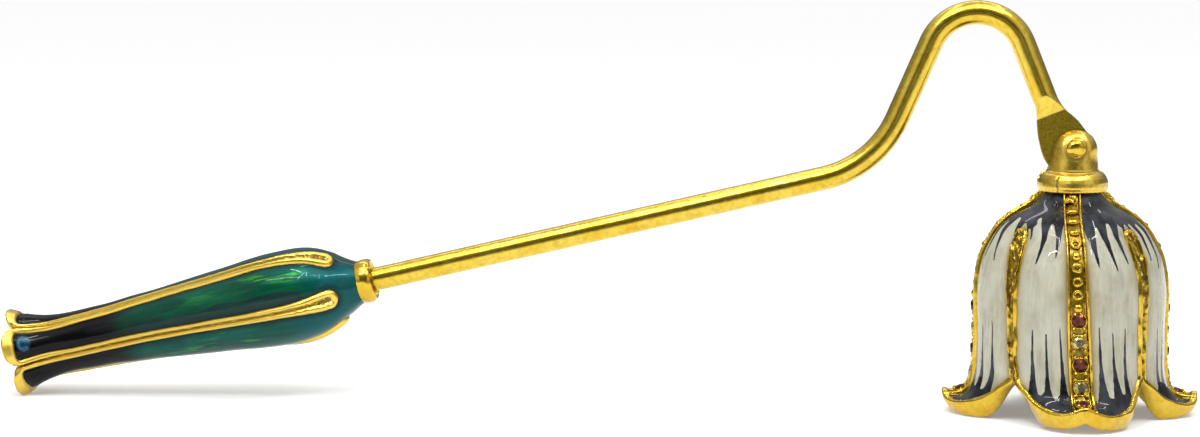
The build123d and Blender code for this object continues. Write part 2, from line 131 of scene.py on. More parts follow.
def cut(tris, f, fields):
    """Splits triangles where f is 0. Returns the triangles, the label (True where f > 0) of each, and the
    fields and f with the new vertices added."""
    f = np.where(np.abs(f) < 1e-7, 1e-7, f)
    s = f > 0
    n = s[tris].sum(1)
    whole = (n == 0) | (n == 3)
    mixed = tris[~whole]
    sm = s[mixed]
    lone = np.where((sm.sum(1) == 1)[:, None], sm, ~sm).argmax(1)
    r = np.arange(len(mixed))
    a, b, c = mixed[r, lone], mixed[r, (lone + 1) % 3], mixed[r, (lone + 2) % 3]
    e = np.sort(np.concatenate([np.stack([a, b], 1), np.stack([a, c], 1)]), 1)
    uniq, inv = np.unique(e, axis=0, return_inverse=True)
    inv = inv.ravel()
    i, j = uniq[:, 0], uniq[:, 1]
    t = f[i] / (f[i] - f[j])
    new = [np.concatenate([x, x[i] + (x[j] - x[i]) * (t if x.ndim == 1 else t[:, None])]) for x in fields]
    f2 = np.concatenate([f, np.zeros(len(uniq))])
    ab, ac = inv[:len(a)] + len(f), inv[len(a):] + len(f)
    out = np.concatenate([tris[whole], np.stack([a, ab, ac], 1), np.stack([ab, b, c], 1), np.stack([ab, c, ac], 1)])
    lab = np.concatenate([n[whole] == 3, s[a], ~s[a], ~s[a]])
    return out, lab, new, f2


def border(tris):
    """Directed edges used by one triangle only."""
    e = np.concatenate([tris[:, [0, 1]], tris[:, [1, 2]], tris[:, [2, 0]]])
    key = np.sort(e, 1)
    _, first, count = np.unique(key, axis=0, return_index=True, return_counts=True)
    return e[first[count == 1]]


def used(tris, *fields):
    """The triangles renumbered to the vertices they use, and those vertices' fields."""
    ids, inv = np.unique(tris, return_inverse=True)
    return inv.reshape(tris.shape), [x[ids] for x in fields]


def weld(points, tris, grid=2e-4, fields=()):
    """Merges vertices that lie within about grid mm of each other."""
    best = None
    ids = np.arange(len(points))
    for shift in (0.0, 0.5):
        key = np.floor(points / grid + shift).astype(np.int64)
        _, first, inv = np.unique(key, axis=0, return_index=True, return_inverse=True)
        step_to = first[inv.ravel()]
        ids = step_to[ids] if best is None else best[step_to][ids]
        best = ids
    tris = ids[tris]
    bad = (tris[:, 0] == tris[:, 1]) | (tris[:, 1] == tris[:, 2]) | (tris[:, 0] == tris[:, 2])
    tris = tris[~bad]
    tris, rest = used(tris, points, *fields)
    return rest[0], tris, rest[1:]


class Soup:
    """Meshes put together in one object."""

    def __init__(self):
        self.p, self.t, self.extra, self.n = [], [], {}, 0

    def add(self, points, tris, **extra):
        self.p.append(np.asarray(points, float))
        self.t.append(np.asarray(tris, int) + self.n)
        for k, v in extra.items():
            self.extra.setdefault(k, []).append((self.n, np.asarray(v, float)))
        self.n += len(points)

    def make(self, name, material, body, slot, nodes=(), angle=38.0, flat=False, join=2e-4, move=None):
        p, t = np.concatenate(self.p), np.concatenate(self.t)
        if move:
            p = move(p)
        fields = []
        for k, parts in self.extra.items():
            f = np.zeros(len(p))
            for at, v in parts:
                f[at:at + len(v)] = v
            fields.append(f)
        if join:
            p, t, fields = weld(p, t, join, fields)
        p[:, 2] = np.maximum(p[:, 2], 0.0)
        me = bpy.data.meshes.new(name)
        me.vertices.add(len(p))
        me.vertices.foreach_set("co", (p * MM).astype(np.float32).ravel())
        me.loops.add(len(t) * 3)
        me.loops.foreach_set("vertex_index", t.astype(np.int32).ravel())
        me.polygons.add(len(t))
        me.polygons.foreach_set("loop_start", np.arange(0, len(t) * 3, 3, dtype=np.int32))
        me.polygons.foreach_set("use_smooth", np.full(len(t), not flat))
        for (k, _), f in zip(self.extra.items(), fields):
            a = me.attributes.new(k, "FLOAT", "POINT")
            a.data.foreach_set("value", f.astype(np.float32))
        me.update(calc_edges=True)
        me.validate()
        if not flat:
            me.set_sharp_from_angle(angle=math.radians(angle))
        me.materials.append(material)
        o = bpy.data.objects.new(name, me)
        bpy.context.scene.collection.objects.link(o)
        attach(o, body)
        if nodes:
            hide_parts(*nodes)
        return o


def ball(centre, radii, axes=None, seg=18, rings=12, seed=None, lump=0.0):
    """Points and triangles of an ellipsoid. axes are its three unit vectors, and the last one is its pole."""
    lat = np.linspace(0, math.pi, rings + 1)[1:-1]
    lon = np.arange(seg) * 2 * math.pi / seg
    p = np.stack([np.outer(np.sin(lat), np.cos(lon)), np.outer(np.sin(lat), np.sin(lon)),
                  np.outer(np.cos(lat), np.ones(seg))], 2).reshape(-1, 3)
    p = np.concatenate([p, [[0, 0, 1], [0, 0, -1]]])
    if seed is not None:
        p = p * (1 + lump * waves(p, 1.6, seed, 9))[:, None]
    t = [grid_faces(rings - 1, seg, wrap=True)[:, ::-1]]
    n, m = (rings - 1) * seg, np.arange(seg)
    t.append(np.stack([np.full(seg, n), m, (m + 1) % seg], 1))
    low = (rings - 2) * seg
    t.append(np.stack([np.full(seg, n + 1), low + (m + 1) % seg, low + m], 1))
    p = p * np.asarray(radii, float)
    if axes is not None:
        p = p @ np.asarray(axes, float)
    return p + np.asarray(centre, float), np.concatenate(t)


def ring(centre, axes, major, minor, seg=28, around=10, squash=1.0):
    """Torus about axes[2]."""
    u, v = np.arange(seg) * 2 * math.pi / seg, np.arange(around) * 2 * math.pi / around
    r = major + minor * np.cos(v)[None]
    p = np.stack([np.cos(u)[:, None] * r, np.sin(u)[:, None] * r,
                  np.broadcast_to(minor * squash * np.sin(v)[None], (seg, around))], 2).reshape(-1, 3)
    i, j = np.arange(seg)[:, None], np.arange(around)[None]
    a = (i * around + j).ravel()
    b = (i * around + (j + 1) % around).ravel()
    c = ((i + 1) % seg * around + (j + 1) % around).ravel()
    d = ((i + 1) % seg * around + j).ravel()
    t = np.concatenate([np.stack([a, d, c], 1), np.stack([a, c, b], 1)])
    return p @ np.asarray(axes, float) + np.asarray(centre, float), t


def turned(p, k, mirror=False):
    """Points of the first petal half carried to petal k, mirrored for its other half."""
    q = p * np.array([1, -1, 1]) if mirror else p
    a = math.radians(90 * k)
    c, s = math.cos(a), math.sin(a)
    return np.stack([q[:, 0] * c - q[:, 1] * s, q[:, 0] * s + q[:, 1] * c, q[:, 2]], 1)


# how far the casting is turned about its axis at each height, in degrees, for azimuths round it: the front petal
# leans a little, its right lobe spreads, and the side petals' lips hang lower
TURN_AZ = np.array([-180.0, -135, -90, -67, -45, 0, 45, 90, 135, 180])
TURN_Z = np.array([3.0, 5.5, 9.5, 14, 20, 27, 33, 37, 41, 46])
TURN = np.array([
    [0, 0, 0, 0, 0, 0, 0, 0, 0, 0],
    [3.3, 3.3, 3.3, 1.5, 0.6, 0.0, -0.8, -2.4, -4.0, -4.5],
    [3.6, 3.5, 2.9, 2.2, 1.1, 0.2, -0.6, -1.3, -3.2, -5.0],
    [8.2, 7.8, 5.0, 3.2, 2.4, 2.2, 2.0, 1.4, -0.5, -4.5],
    [4.8, 4.8, 4.8, 5.0, 5.0, 5.4, 5.8, 5.2, 2.4, -3.5],
    [1.5, 1.5, 1.5, 2.0, 2.4, 2.5, 2.5, 2.0, 0.5, -2.0],
    [0, 0, 0, 0, 0, 0, 0, 0, 0, 0], [0, 0, 0, 0, 0, 0, 0, 0, 0, 0], [0, 0, 0, 0, 0, 0, 0, 0, 0, 0],
    [0, 0, 0, 0, 0, 0, 0, 0, 0, 0]], float)


def settle(p):
    """Moves the cup's points to where the casting's small turn and sag leave them."""
    p = np.array(p, float)
    az = np.degrees(np.arctan2(p[:, 1], p[:, 0]))
    i = np.clip(np.searchsorted(TURN_AZ, az, side="right") - 1, 0, len(TURN_AZ) - 2)
    t = (az - TURN_AZ[i]) / (TURN_AZ[i + 1] - TURN_AZ[i])
    t = t * t * (3 - 2 * t)
    rows = np.stack([np.interp(p[:, 2], TURN_Z, row) for row in TURN], 1)
    r = np.arange(len(p))
    a = np.radians(rows[r, i] * (1 - t) + rows[r, i + 1] * t)
    c, s = np.cos(a), np.sin(a)
    x, y = p[:, 0] * c - p[:, 1] * s, p[:, 0] * s + p[:, 1] * c
    low = step(10.5, 4.5, p[:, 2])
    side = np.minimum(np.abs(az), 180 - np.abs(az))
    z = p[:, 2] - 1.1 * low * step(44, 27, side)
    z = z - 0.45 * low * np.exp(-((az + 76) / 16.0) ** 2)
    x = x + 0.30 * step(22.5, 25.5, x)
    return np.stack([x, y, z], 1)


# ------------------------------------------------------------------ cup: surface of a petal's half (0 to 45 degrees)
BASE = [
    (6.1, 45.95), (8.0, 43.8), (10.05, 42.45), (12.1, 41.2), (13.75, 39.95), (15.05, 38.7), (15.9, 37.5),
    (17.05, 35.5), (18.35, 32.7), (18.95, 30.3), (19.3, 27.9), (19.5, 25.4), (19.5, 22.9), (19.4, 19.1),
    (19.43, 15.0), (19.5, 11.5), (19.75, 8.6), (20.45, 6.6), (21.7, 5.0), (23.3, 3.9), (25.4, 3.1), (26.4, 2.95),
]
VALLEY_K = [1.0, 0.997, 0.99, 0.975, 0.96, 0.945, 0.935, 0.925] + [0.92] * 14
INNER = [
    (6.6, 43.65), (8.4, 42.35), (10.4, 40.6), (12.0, 38.6), (13.3, 36.3), (14.6, 33.0), (15.4, 30.0),
    (15.85, 27.0), (16.1, 23.0), (16.15, 17.0), (16.3, 11.0), (16.7, 7.5), (17.4, 4.2), (18.6, 1.6),
]
PETAL_AXIS = 5.0
base = np.array(BASE)
base_s = np.concatenate([[0], np.cumsum(np.hypot(*np.diff(base, axis=0).T))])
R_of, Z_of, K_of = (Cubic(base_s, v) for v in (base[:, 0], base[:, 1], VALLEY_K))
dense_s = np.linspace(0, base_s[-1], 4000)
dense_R, dense_Z = R_of(dense_s), Z_of(dense_s)


def s_at_z(z):
    return np.interp(-np.asarray(z, float), -dense_Z, dense_s)


LOW = dense_s > s_at_z(14.0)


def s_at_r(r):
    return np.interp(r, dense_R[LOW], dense_s[LOW])


S_APEX, S_BEND, S_HEAD = float(s_at_z(9.5)), float(s_at_z(14.5)), float(s_at_z(37.9))
RC_LOW = float(R_of(S_APEX) * 0.92)


def petal(w, s):
    """Smooth surface of the petal that points along +X, at w mm across it and s mm down its profile."""
    w, s = np.broadcast_arrays(np.asarray(w, float), np.asarray(s, float))
    r, z = R_of(s), Z_of(s)
    rc = np.where(s < S_APEX, r * K_of(s), RC_LOW)
    xp = np.where(r - PETAL_AXIS > np.abs(w), PETAL_AXIS + np.sqrt(np.maximum((r - PETAL_AXIS) ** 2 - w ** 2, 0)), 0)
    xc = np.sqrt(np.maximum(rc ** 2 - w ** 2, 0))
    lift = 2.2 * np.exp(-(np.abs(w) / 3.2) ** 1.7) * step(20.4, 25.6, r)
    return np.stack([smax(xp, xc, 0.8), w, z + lift], -1)


def petal_normal(w, s, e=0.02):
    a = petal(w, s + e) - petal(w, s - e)
    b = petal(w + e, s) - petal(w - e, s)
    return unit(np.cross(a, b))


def valley_w(s):
    lo, hi = np.full(np.shape(s), 2.0), np.full(np.shape(s), 20.0)
    for _ in range(40):
        mid = (lo + hi) / 2
        inside = petal(mid, s)[..., 0] > mid
        lo, hi = np.where(inside, mid, lo), np.where(inside, hi, mid)
    return (lo + hi) / 2


# edge of the petal from the notch's apex to the middle of the lip, as (across, profile radius)
EDGE = [(12.62, 19.76), (12.1, 20.0), (11.3, 20.4), (10.45, 20.95), (9.4, 21.75), (8.3, 22.65), (7.1, 23.5),
        (5.8, 24.2), (4.5, 24.8), (3.0, 25.3), (1.5, 25.6), (0.0, 25.7)]
apex_w = float(valley_w(np.array([S_APEX]))[0])
edge_w = np.array([apex_w] + [w for w, _ in EDGE])
edge_s = np.array([S_APEX] + [float(s_at_r(r)) for _, r in EDGE])
edge_u = np.concatenate([[0], np.cumsum(np.hypot(np.diff(edge_w), np.diff(edge_s)))])
EW, ES = Cubic(edge_u, edge_w), Cubic(edge_u, edge_s)
fine_u = np.linspace(0, edge_u[-1], 1200)
fine_w, fine_s = EW(fine_u), ES(fine_u)
CORNER_W = 8.3
S_CORNER = float(np.interp(-CORNER_W, -fine_w, fine_s))


def edge_s_at_w(w):
    return np.interp(-np.asarray(w, float), -fine_w, fine_s)


def edge_w_at_s(s):
    k = fine_w >= CORNER_W - 0.2
    return np.interp(s, fine_s[k], fine_w[k])


def rib_half(s):
    t = np.clip((41 - Z_of(s)) / 27, 0, 1)
    return 1.8 + 0.6 * (1 - (1 - t) ** 1.5)


def channel_half(s):
    t = np.clip((41 - Z_of(s)) / 27, 0, 1)
    return 1.12 + 0.45 * (1 - (1 - t) ** 1.5)


def rows_of(d_dome, d_wall, n_bend, n_edge):
    """(s above the bend) and (fractions below it), with one row exactly at the notch's apex."""
    z36 = float(s_at_z(36.0))
    up = np.concatenate([np.linspace(-0.4, z36, int(z36 / d_dome) + 1)[:-1],
                         np.linspace(z36, S_BEND, int((S_BEND - z36) / d_wall) + 1)])
    ta = (S_APEX - S_BEND) / (S_CORNER - S_BEND)
    return up, np.concatenate([np.linspace(0, ta, n_bend + 1)[1:], np.linspace(ta, 1, n_edge + 1)[1:]])


RIB_END_W = float(rib_half(s_at_r(25.3)))
S_TIP, S_RIBEND = float(edge_s_at_w(0.0)), float(edge_s_at_w(RIB_END_W))


def half_grid(up, low, cols_a, cols_b, inset=0.0):
    """(w, s) of a grid over a half petal. cols_a are fractions across the rib and cols_b from the rib's edge to
    the valley or the petal's edge. Returns w, s with shape (rows, columns)."""
    wa_up, s_up = rib_half(up) - inset, up
    wv = valley_w(up)
    parts_w, parts_s = [], []
    left_s = S_BEND + low * (S_TIP - S_BEND)
    rib_s = S_BEND + low * (S_RIBEND - S_BEND)
    rib_w = rib_half(rib_s) - inset
    rib_w[-1] = RIB_END_W - inset
    right_s = S_BEND + low * (S_CORNER - S_BEND)
    above = right_s <= S_APEX + 1e-9
    right_w = np.where(above, valley_w(right_s), edge_w_at_s(right_s))
    if len(cols_a):
        a = np.asarray(cols_a)
        w1 = wa_up[:, None] * a
        s1 = np.repeat(s_up[:, None], len(a), 1)
        wb = a * RIB_END_W
        sb = edge_s_at_w(wb)
        w2 = rib_w[:, None] * a
        lin = (1 - a) * left_s[:, None] + a * rib_s[:, None]
        s2 = lin + low[:, None] ** 2 * (sb - ((1 - a) * S_TIP + a * S_RIBEND))
        parts_w.append(np.concatenate([w1, w2])), parts_s.append(np.concatenate([s1, s2]))
    b = np.asarray(cols_b)
    w1 = wa_up[:, None] + (wv - wa_up)[:, None] * b
    s1 = np.repeat(s_up[:, None], len(b), 1)
    bw = RIB_END_W - inset + (CORNER_W - RIB_END_W + inset) * b
    bs = edge_s_at_w(bw)
    w2 = rib_w[:, None] + (right_w - rib_w)[:, None] * b
    lin = (1 - b) * rib_s[:, None] + b * right_s[:, None]
    s2 = lin + low[:, None] ** 2 * (bs - ((1 - b) * bs[0] + b * S_CORNER))
    s2[-1] = bs
    parts_w.append(np.concatenate([w1, w2])), parts_s.append(np.concatenate([s1, s2]))
    return np.concatenate(parts_w, 1), np.concatenate(parts_s, 1)


# middle line of the gold strip: down the valley from its head, then round the petal's edge
line_s = np.linspace(S_HEAD, S_APEX, 70)
STRIP_LINE = np.concatenate([petal(valley_w(line_s), line_s), petal(fine_w[8::10], fine_s[8::10])])
strip_at = np.concatenate([[0], np.cumsum(np.linalg.norm(np.diff(STRIP_LINE, axis=0), axis=1))])
AT_APEX, AT_END = float(strip_at[69]), float(strip_at[-1])
STRIP_W = [(0.0, 1.6), (0.05, 1.90), (0.18, 1.98), (0.30, 1.70), (0.45, 1.42), (0.7, 1.25), (0.93, 1.15), (1.0, 1.15)]


def strip_half(at, seed):
    """Half width of the gold strip, or of the gold along the petal's edge."""
    t = at / AT_APEX
    up = np.interp(t, *np.array(STRIP_W).T)
    low = np.interp(at - AT_APEX, [0, 3, 8, 12, AT_END - AT_APEX], [1.25, 1.05, 0.95, 1.0, 1.05])
    w = np.where(at < AT_APEX, up, low)
    return w + 0.06 * wave1(at, 8.0, seed) * step(0, 4, at) * step(AT_END, AT_END - 4, at)


def toward_plane(n, p):
    """Normals close to the valley's plane are turned into it, so that mirrored halves meet."""
    m = np.array([1, -1, 0]) / math.sqrt(2)
    f = step(1.0, 0.0, np.abs(p @ m))[:, None]
    on_edge = (p[:, 2] > 9.3)[:, None]
    n = n - f * on_edge * (n @ m)[:, None] * m
    mid = step(0.15, 0.0, p[:, 1])[:, None]
    n = n - mid * n[:, 1:2] * np.array([0, 1, 0])
    return unit(n)


def enamel_height(d):
    return -0.13 + 0.24 * (1 - np.exp(-np.maximum(d, 0) / 0.9))


def gold_height(w, s, dist, at, half, q):
    """Height of the gold above the petal's surface, and how much patina and painted shade it gets (0 to 1), darkest in
    the rib's channel and the strip's groove. q is the place.
    """
    e = half - dist
    lip = step(AT_APEX - 2.5, AT_APEX + 1.5, at)
    grain = waves(q, 0.62, 11) * 0.6 + waves(q, 1.5, 12) * 0.5
    ridge = -0.15 + 0.64 * np.sin(np.pi * np.clip(e / 0.86, 0, 1)) ** 0.75
    nugget = step(0.1, 0.9, waves(q, 1.25, 16))
    floor = -0.12 + 0.12 * grain + 0.30 * nugget
    inner = np.where(e > 0.43, np.maximum(ridge, floor), ridge)
    valley = np.where(e < 0, -0.15 + 3 * e, inner)
    edge = np.where(e < 0, -0.15 + 3 * e, -0.15 + 0.52 * (1 - np.exp(-np.maximum(e, 0) / 0.22)))
    strip = valley * (1 - lip) + edge * lip
    c, r = channel_half(s), rib_half(s)
    aw = np.abs(w)
    m, hw = (c + r) / 2, (r - c) / 2
    rail = -0.15 + 0.68 * (1 - np.clip(np.abs((aw - m) / hw), 0, 1) ** 2.6)
    rail = rail + 0.03 * waves(q, 2.6, 14)
    low = -0.42 + 0.09 * grain
    rib = np.where(aw < c, np.maximum(rail, low), rail)
    rib = np.where(aw > r, -0.15 - 3 * (aw - r), rib)
    h = np.maximum(rib, strip)
    # patina and painted shade: the rib's channel floor and the strip's groove are marked to render darker, less where a
    # nugget stands up
    patina_shade_mask = np.where(aw < c - 0.05, 1.0, 0.0) * (1 - step(0.0, 0.7, e) * lip) * (0.9 - 0.45 * nugget)
    patina_shade_mask = np.maximum(patina_shade_mask, step(0.60, 0.80, e) * (1 - lip) * (0.85 - 0.75 * nugget))
    return h + 0.022 * waves(q, 2.2, 15) * step(-0.1, 0.1, h), patina_shade_mask


def inner_point(p, n, w, s, side=0.0):
    """Point of the cup's inside, or of a lip's underside, behind outer point p."""
    az = np.arctan2(p[:, 1], p[:, 0])
    z_in = np.interp(p[:, 2], [8.0, 14.0, 45.6], [7.4, 13.6, 43.65])
    prof = np.array(INNER)[::-1]
    r_in = np.interp(z_in, prof[:, 1], prof[:, 0])
    wall = np.stack([r_in * np.cos(az), r_in * np.sin(az), z_in], 1)
    t = np.interp(R_of(s), [19.75, 20.45, 21.7, 23.3, 24.4, 25.3, 25.7], [3.0, 3.1, 3.3, 3.35, 3.1, 2.9, 2.8])
    t = t * (1 - 0.30 * step(10.2, 12.6, np.abs(w)))
    t = t * (1 - side * 0.56 * np.exp(-(np.abs(w) / 6.0) ** 3.5) * step(21.6, 24.4, R_of(s)))
    under = p - n * t[:, None]
    under[:, 2] -= 1.2 * np.exp(-((np.abs(w) - 9.4) / 2.1) ** 2) * step(19.6, 20.6, R_of(s))
    f = step(12.0, 8.6, p[:, 2])[:, None]
    q = wall * (1 - f) + under * f
    q[:, 2] = np.maximum(q[:, 2], 0.02)
    return q


def cup_gold(material):
    up, low = rows_of(0.33, 0.5, 12, 34)
    cols_a = [0, .14, .28, .42, .53, .60, .65, .70, .76, .82, .88, .94, 1.0]
    nb = 20
    cols_b = np.concatenate([np.linspace(0, 0.06, 3)[1:], np.linspace(0.06, 0.72, 9)[1:], np.linspace(0.72, 1.0, nb)[1:]])
    w, s = half_grid(up, low, cols_a, cols_b)
    rows, cols = w.shape
    w, s = w.ravel(), s.ravel()
    p = petal(w, s)
    n = toward_plane(petal_normal(w, s), p)
    dist, at = to_polyline(p, STRIP_LINE)
    rib_cols = len(cols_a) - 1
    tris = grid_faces(rows, cols)[:, ::-1]
    in_rib = (tris % cols).max(1) <= rib_cols
    up_n = len(up)
    apex_row = up_n + 11
    right = [(i + 1) * cols - 1 for i in range(apex_row, rows)]
    bottom = [(rows - 1) * cols + j for j in range(cols - 2, -1, -1)]
    rim = np.array(right + bottom)
    both_ip = [inner_point(p, n, w, s, 1.0), inner_point(p, n, w, s, 0.0)]
    # outward direction along the surface at the edge
    rp = p[rim]
    tan = unit(np.gradient(rp, axis=0))
    outward = unit(np.cross(n[rim], tan))
    outward *= np.sign((outward * (rp - np.array([14.0, 0, 6.0]))).sum(1))[:, None]
    outward[0] = unit(np.array([[0.35, 0.35, -0.9]]))[0]
    outward[-1] = unit(np.array([[outward[-1, 0], 0, outward[-1, 2]]]))[0]
    keep_r = np.concatenate([np.arange(0, apex_row, 4), np.arange(apex_row, rows)])
    keep_c = np.arange(cols)
    coarse = (keep_r[:, None] * cols + keep_c[None]).ravel()
    inner_tris = grid_faces(len(keep_r), len(keep_c))
    soup = Soup()
    arc = np.linspace(0, math.pi, 10)
    for k in range(4):
        ip = both_ip[k % 2]
        for mirror in (False, True):
            seed = 40 + 2 * k + mirror
            half = strip_half(at, seed)
            f = dist - half
            t2, lab, (p2, n2, w2, s2, d2, a2), f2 = cut(tris, f, [p, n, w, s, dist, at])
            # a triangle of the rib keeps to the gold; the cut's new ones are told by their middle
            mid_w = np.abs(w2[t2]).mean(1)
            rib_t = mid_w < rib_half(s2[t2].mean(1)) - 1e-4
            lab = lab & ~rib_t
            q2 = turned(p2, k, mirror)
            h2, deep = gold_height(w2, s2, d2, a2, strip_half(a2, seed), q2)
            gold_t, floor_t = t2[~lab], t2[lab]
            flip = (lambda t: t[:, ::-1]) if mirror else (lambda t: t)
            top = turned(p2 + n2 * h2[:, None], k, mirror)
            gt, (gp, gd) = used(gold_t, top, deep)
            soup.add(gp, flip(gt), deep=gd)
            floor = turned(p2 - n2 * 0.55, k, mirror)
            ft, (fp,) = used(floor_t, floor)
            soup.add(fp, flip(ft))
            # walls of the recess, where gold and floor share an edge
            be = border(floor_t)
            gold_keys = set(map(tuple, np.sort(border(gold_t), 1).tolist()))
            be = np.array([e for e in be.tolist() if tuple(sorted(e)) in gold_keys])
            ids, inv = np.unique(be, return_inverse=True)
            inv = inv.reshape(be.shape)
            m = len(ids)
            wp = np.concatenate([top[ids], floor[ids]])
            wt = np.concatenate([np.stack([inv[:, 1], inv[:, 0], inv[:, 0] + m], 1),
                                 np.stack([inv[:, 1], inv[:, 0] + m, inv[:, 1] + m], 1)])
            soup.add(wp, flip(wt))
            # the rolled edge
            h_rim, _ = gold_height(w[rim], s[rim], dist[rim], at[rim], strip_half(at[rim], seed), turned(rp, k, mirror))
            a_pt = rp + n[rim] * h_rim[:, None]
            b_pt = ip[rim]
            mid, halfv = (a_pt + b_pt) / 2, (a_pt - b_pt) / 2
            bulge = (0.5 + 0.06 * waves(turned(rp, k, mirror), 6, 33))[:, None] * step(0, 3, np.arange(len(rim)))[:, None].clip(0.4)
            band = np.stack([mid + halfv * math.cos(x) + outward * bulge * math.sin(x) ** 0.8 for x in arc], 1)
            rough_q = turned(band.reshape(-1, 3), k, mirror)
            rough_q = rough_q + (0.035 * waves(rough_q, 2.4, 21))[:, None] * unit(
                turned(np.repeat(outward, len(arc), 0), k, mirror)) * np.tile(np.sin(arc), len(rim))[:, None]
            bt = grid_faces(len(rim), len(arc))
            soup.add(rough_q, flip(bt))
            soup.add(turned(ip[coarse], k, mirror), flip(inner_tris))
    # crown: top face under the clevis, hole for its stud, ceiling inside
    prof = np.array([(5.7, 45.4), (5.75, 45.8), (5.75, 46.0), (5.6, 46.04), (2.0, 46.05), (2.0, 43.65), (6.0, 43.6)])
    az = np.arange(72) * 2 * math.pi / 72
    cp = np.stack([np.outer(prof[:, 0], np.cos(az)), np.outer(prof[:, 0], np.sin(az)),
                   np.outer(prof[:, 1], np.ones(72))], 2).reshape(-1, 3)
    soup.add(cp, grid_faces(len(prof), 72, wrap=True)[:, ::-1])
    # beads, grains and the stones' collars
    for k in range(4):
        for i, z in enumerate(BEAD_Z):
            c, ax = rib_place(float(s_at_z(z)), (0.12, 0.12, 0.12, 0.16, 0.10, 0.16, 0.16, 0.16, 0.10)[i])
            if i in (3, 5, 6, 7):
                rp2, rt2 = ring((0, 0, 0), ax, 0.76, 0.30, 26, 10, 1.2)
                rp2 = rp2 * (1 + 0.05 * waves(rp2 + 3 * i + 9 * k, 1.4, 83))[:, None]
                soup.add(turned(rp2 + c, k), rt2)
                # the small ball in each ring gets almost full patina and painted shade, so the ring's centre renders
                # dark
                bp, bt = ball((0, 0, 0), (0.56, 0.56, 0.2), ax, 16, 10)
                soup.add(turned(bp + c - 0.14 * ax[2], k), bt, deep=np.full(len(bp), 0.95))
                continue
            rad = (1.16, 0.56, 0.60) if i < 2 else (1.12, 0.66, 0.62) if i == 2 else (0.96, 0.96, 0.74)
            bp, bt = ball((0, 0, 0), rad, ax, 22, 14, seed=500 + 20 * k + i, lump=0.03)
            soup.add(turned(bp + c, k), bt)
        rng = np.random.RandomState(60 + k)
        for i in range(14):
            c, ax = rib_place(float(s_at_z(rng.uniform(43.9, 45.3))), 0.34)
            c = c + ax[0] * rng.uniform(-1.5, 1.5)
            bp, bt = ball((0, 0, 0), (rng.uniform(0.30, 0.48),) * 3, ax, 10, 7)
            soup.add(turned(bp + c, k), bt)
        for i, s0 in enumerate(STONE_S):
            c, ax = rib_place(s0, 0.12)
            rp2, rt2 = ring((0, 0, 0), ax, 1.50, 0.2, 32, 8, 1.3)
            rp2 = rp2 * (1 + 0.0 * rp2) + 0.03 * waves(rp2 + i * 7 + k * 3, 1.1, 81)[:, None] * ax[2]
            soup.add(turned(rp2 + c, k), rt2)
            for side in (-1, 1):
                for end in (-1, 1):
                    if i == 0 and end < 0:
                        continue
                    g, gx = rib_place(s0 + end * 1.62, 0.22)
                    rr = rng.uniform(0.36, 0.46)
                    bp, bt = ball((0, 0, 0), (rr, rr * 0.9, rr * 1.15), gx, 10, 7)
                    soup.add(turned(bp + g + gx[0] * side * rng.uniform(0.92, 1.12), k), bt)
    return soup.make("cup_gold", material, "cup", "gold_casting", ["cup_casting"], angle=50, move=settle)


BEAD_Z = [42.5, 40.8, 38.9, 36.8, 34.6, 32.3, 29.6, 27.0, 24.4]
STONE_S = [float(s_at_z(21.9)) + 4.5 * i for i in range(5)]


def rib_place(s0, lift):
    """Point on the rib's middle line, lift mm above the petal's surface, with axes across, along and out."""
    p = petal(0.0, s0).reshape(3)
    n = petal_normal(np.array([0.0]), np.array([s0]))[0]
    n[1] = 0
    n = n / np.linalg.norm(n)
    across = np.array([0.0, 1.0, 0.0])
    return p + n * lift, np.array([across, np.cross(n, across), n])


far_s = np.linspace(0, S_APEX, 60)
FAR_W = Cubic(far_s, valley_w(far_s) * np.interp(Z_of(far_s), [38, 41], [0.87, 1.0]))

# (fraction across at the root, fraction at the tip, height of the tip, half width at the root) for the strokes
# that run down from the shoulder and up from the lip, for two kinds of half petal
DOWN = [
    [(0.15, 0.24, 33.1, 1.15), (0.45, 0.70, 32.0, 1.05), (0.82, 0.93, 37.6, 0.75), (0.99, 1.0, 38.0, 0.5)],
    [(0.10, 0.26, 31.7, 1.20), (0.43, 0.68, 30.6, 1.10), (0.72, 0.88, 32.8, 0.90), (0.99, 1.0, 36.5, 0.5)],
]
UP = [
    [(0.13, 0.17, 19.8, 0.66), (0.45, 0.44, 20.2, 0.62), (0.78, 0.74, 19.7, 0.6)],
    [(0.20, 0.18, 20.2, 0.66), (0.50, 0.50, 20.0, 0.74), (0.73, 0.77, 19.2, 0.60)],
]


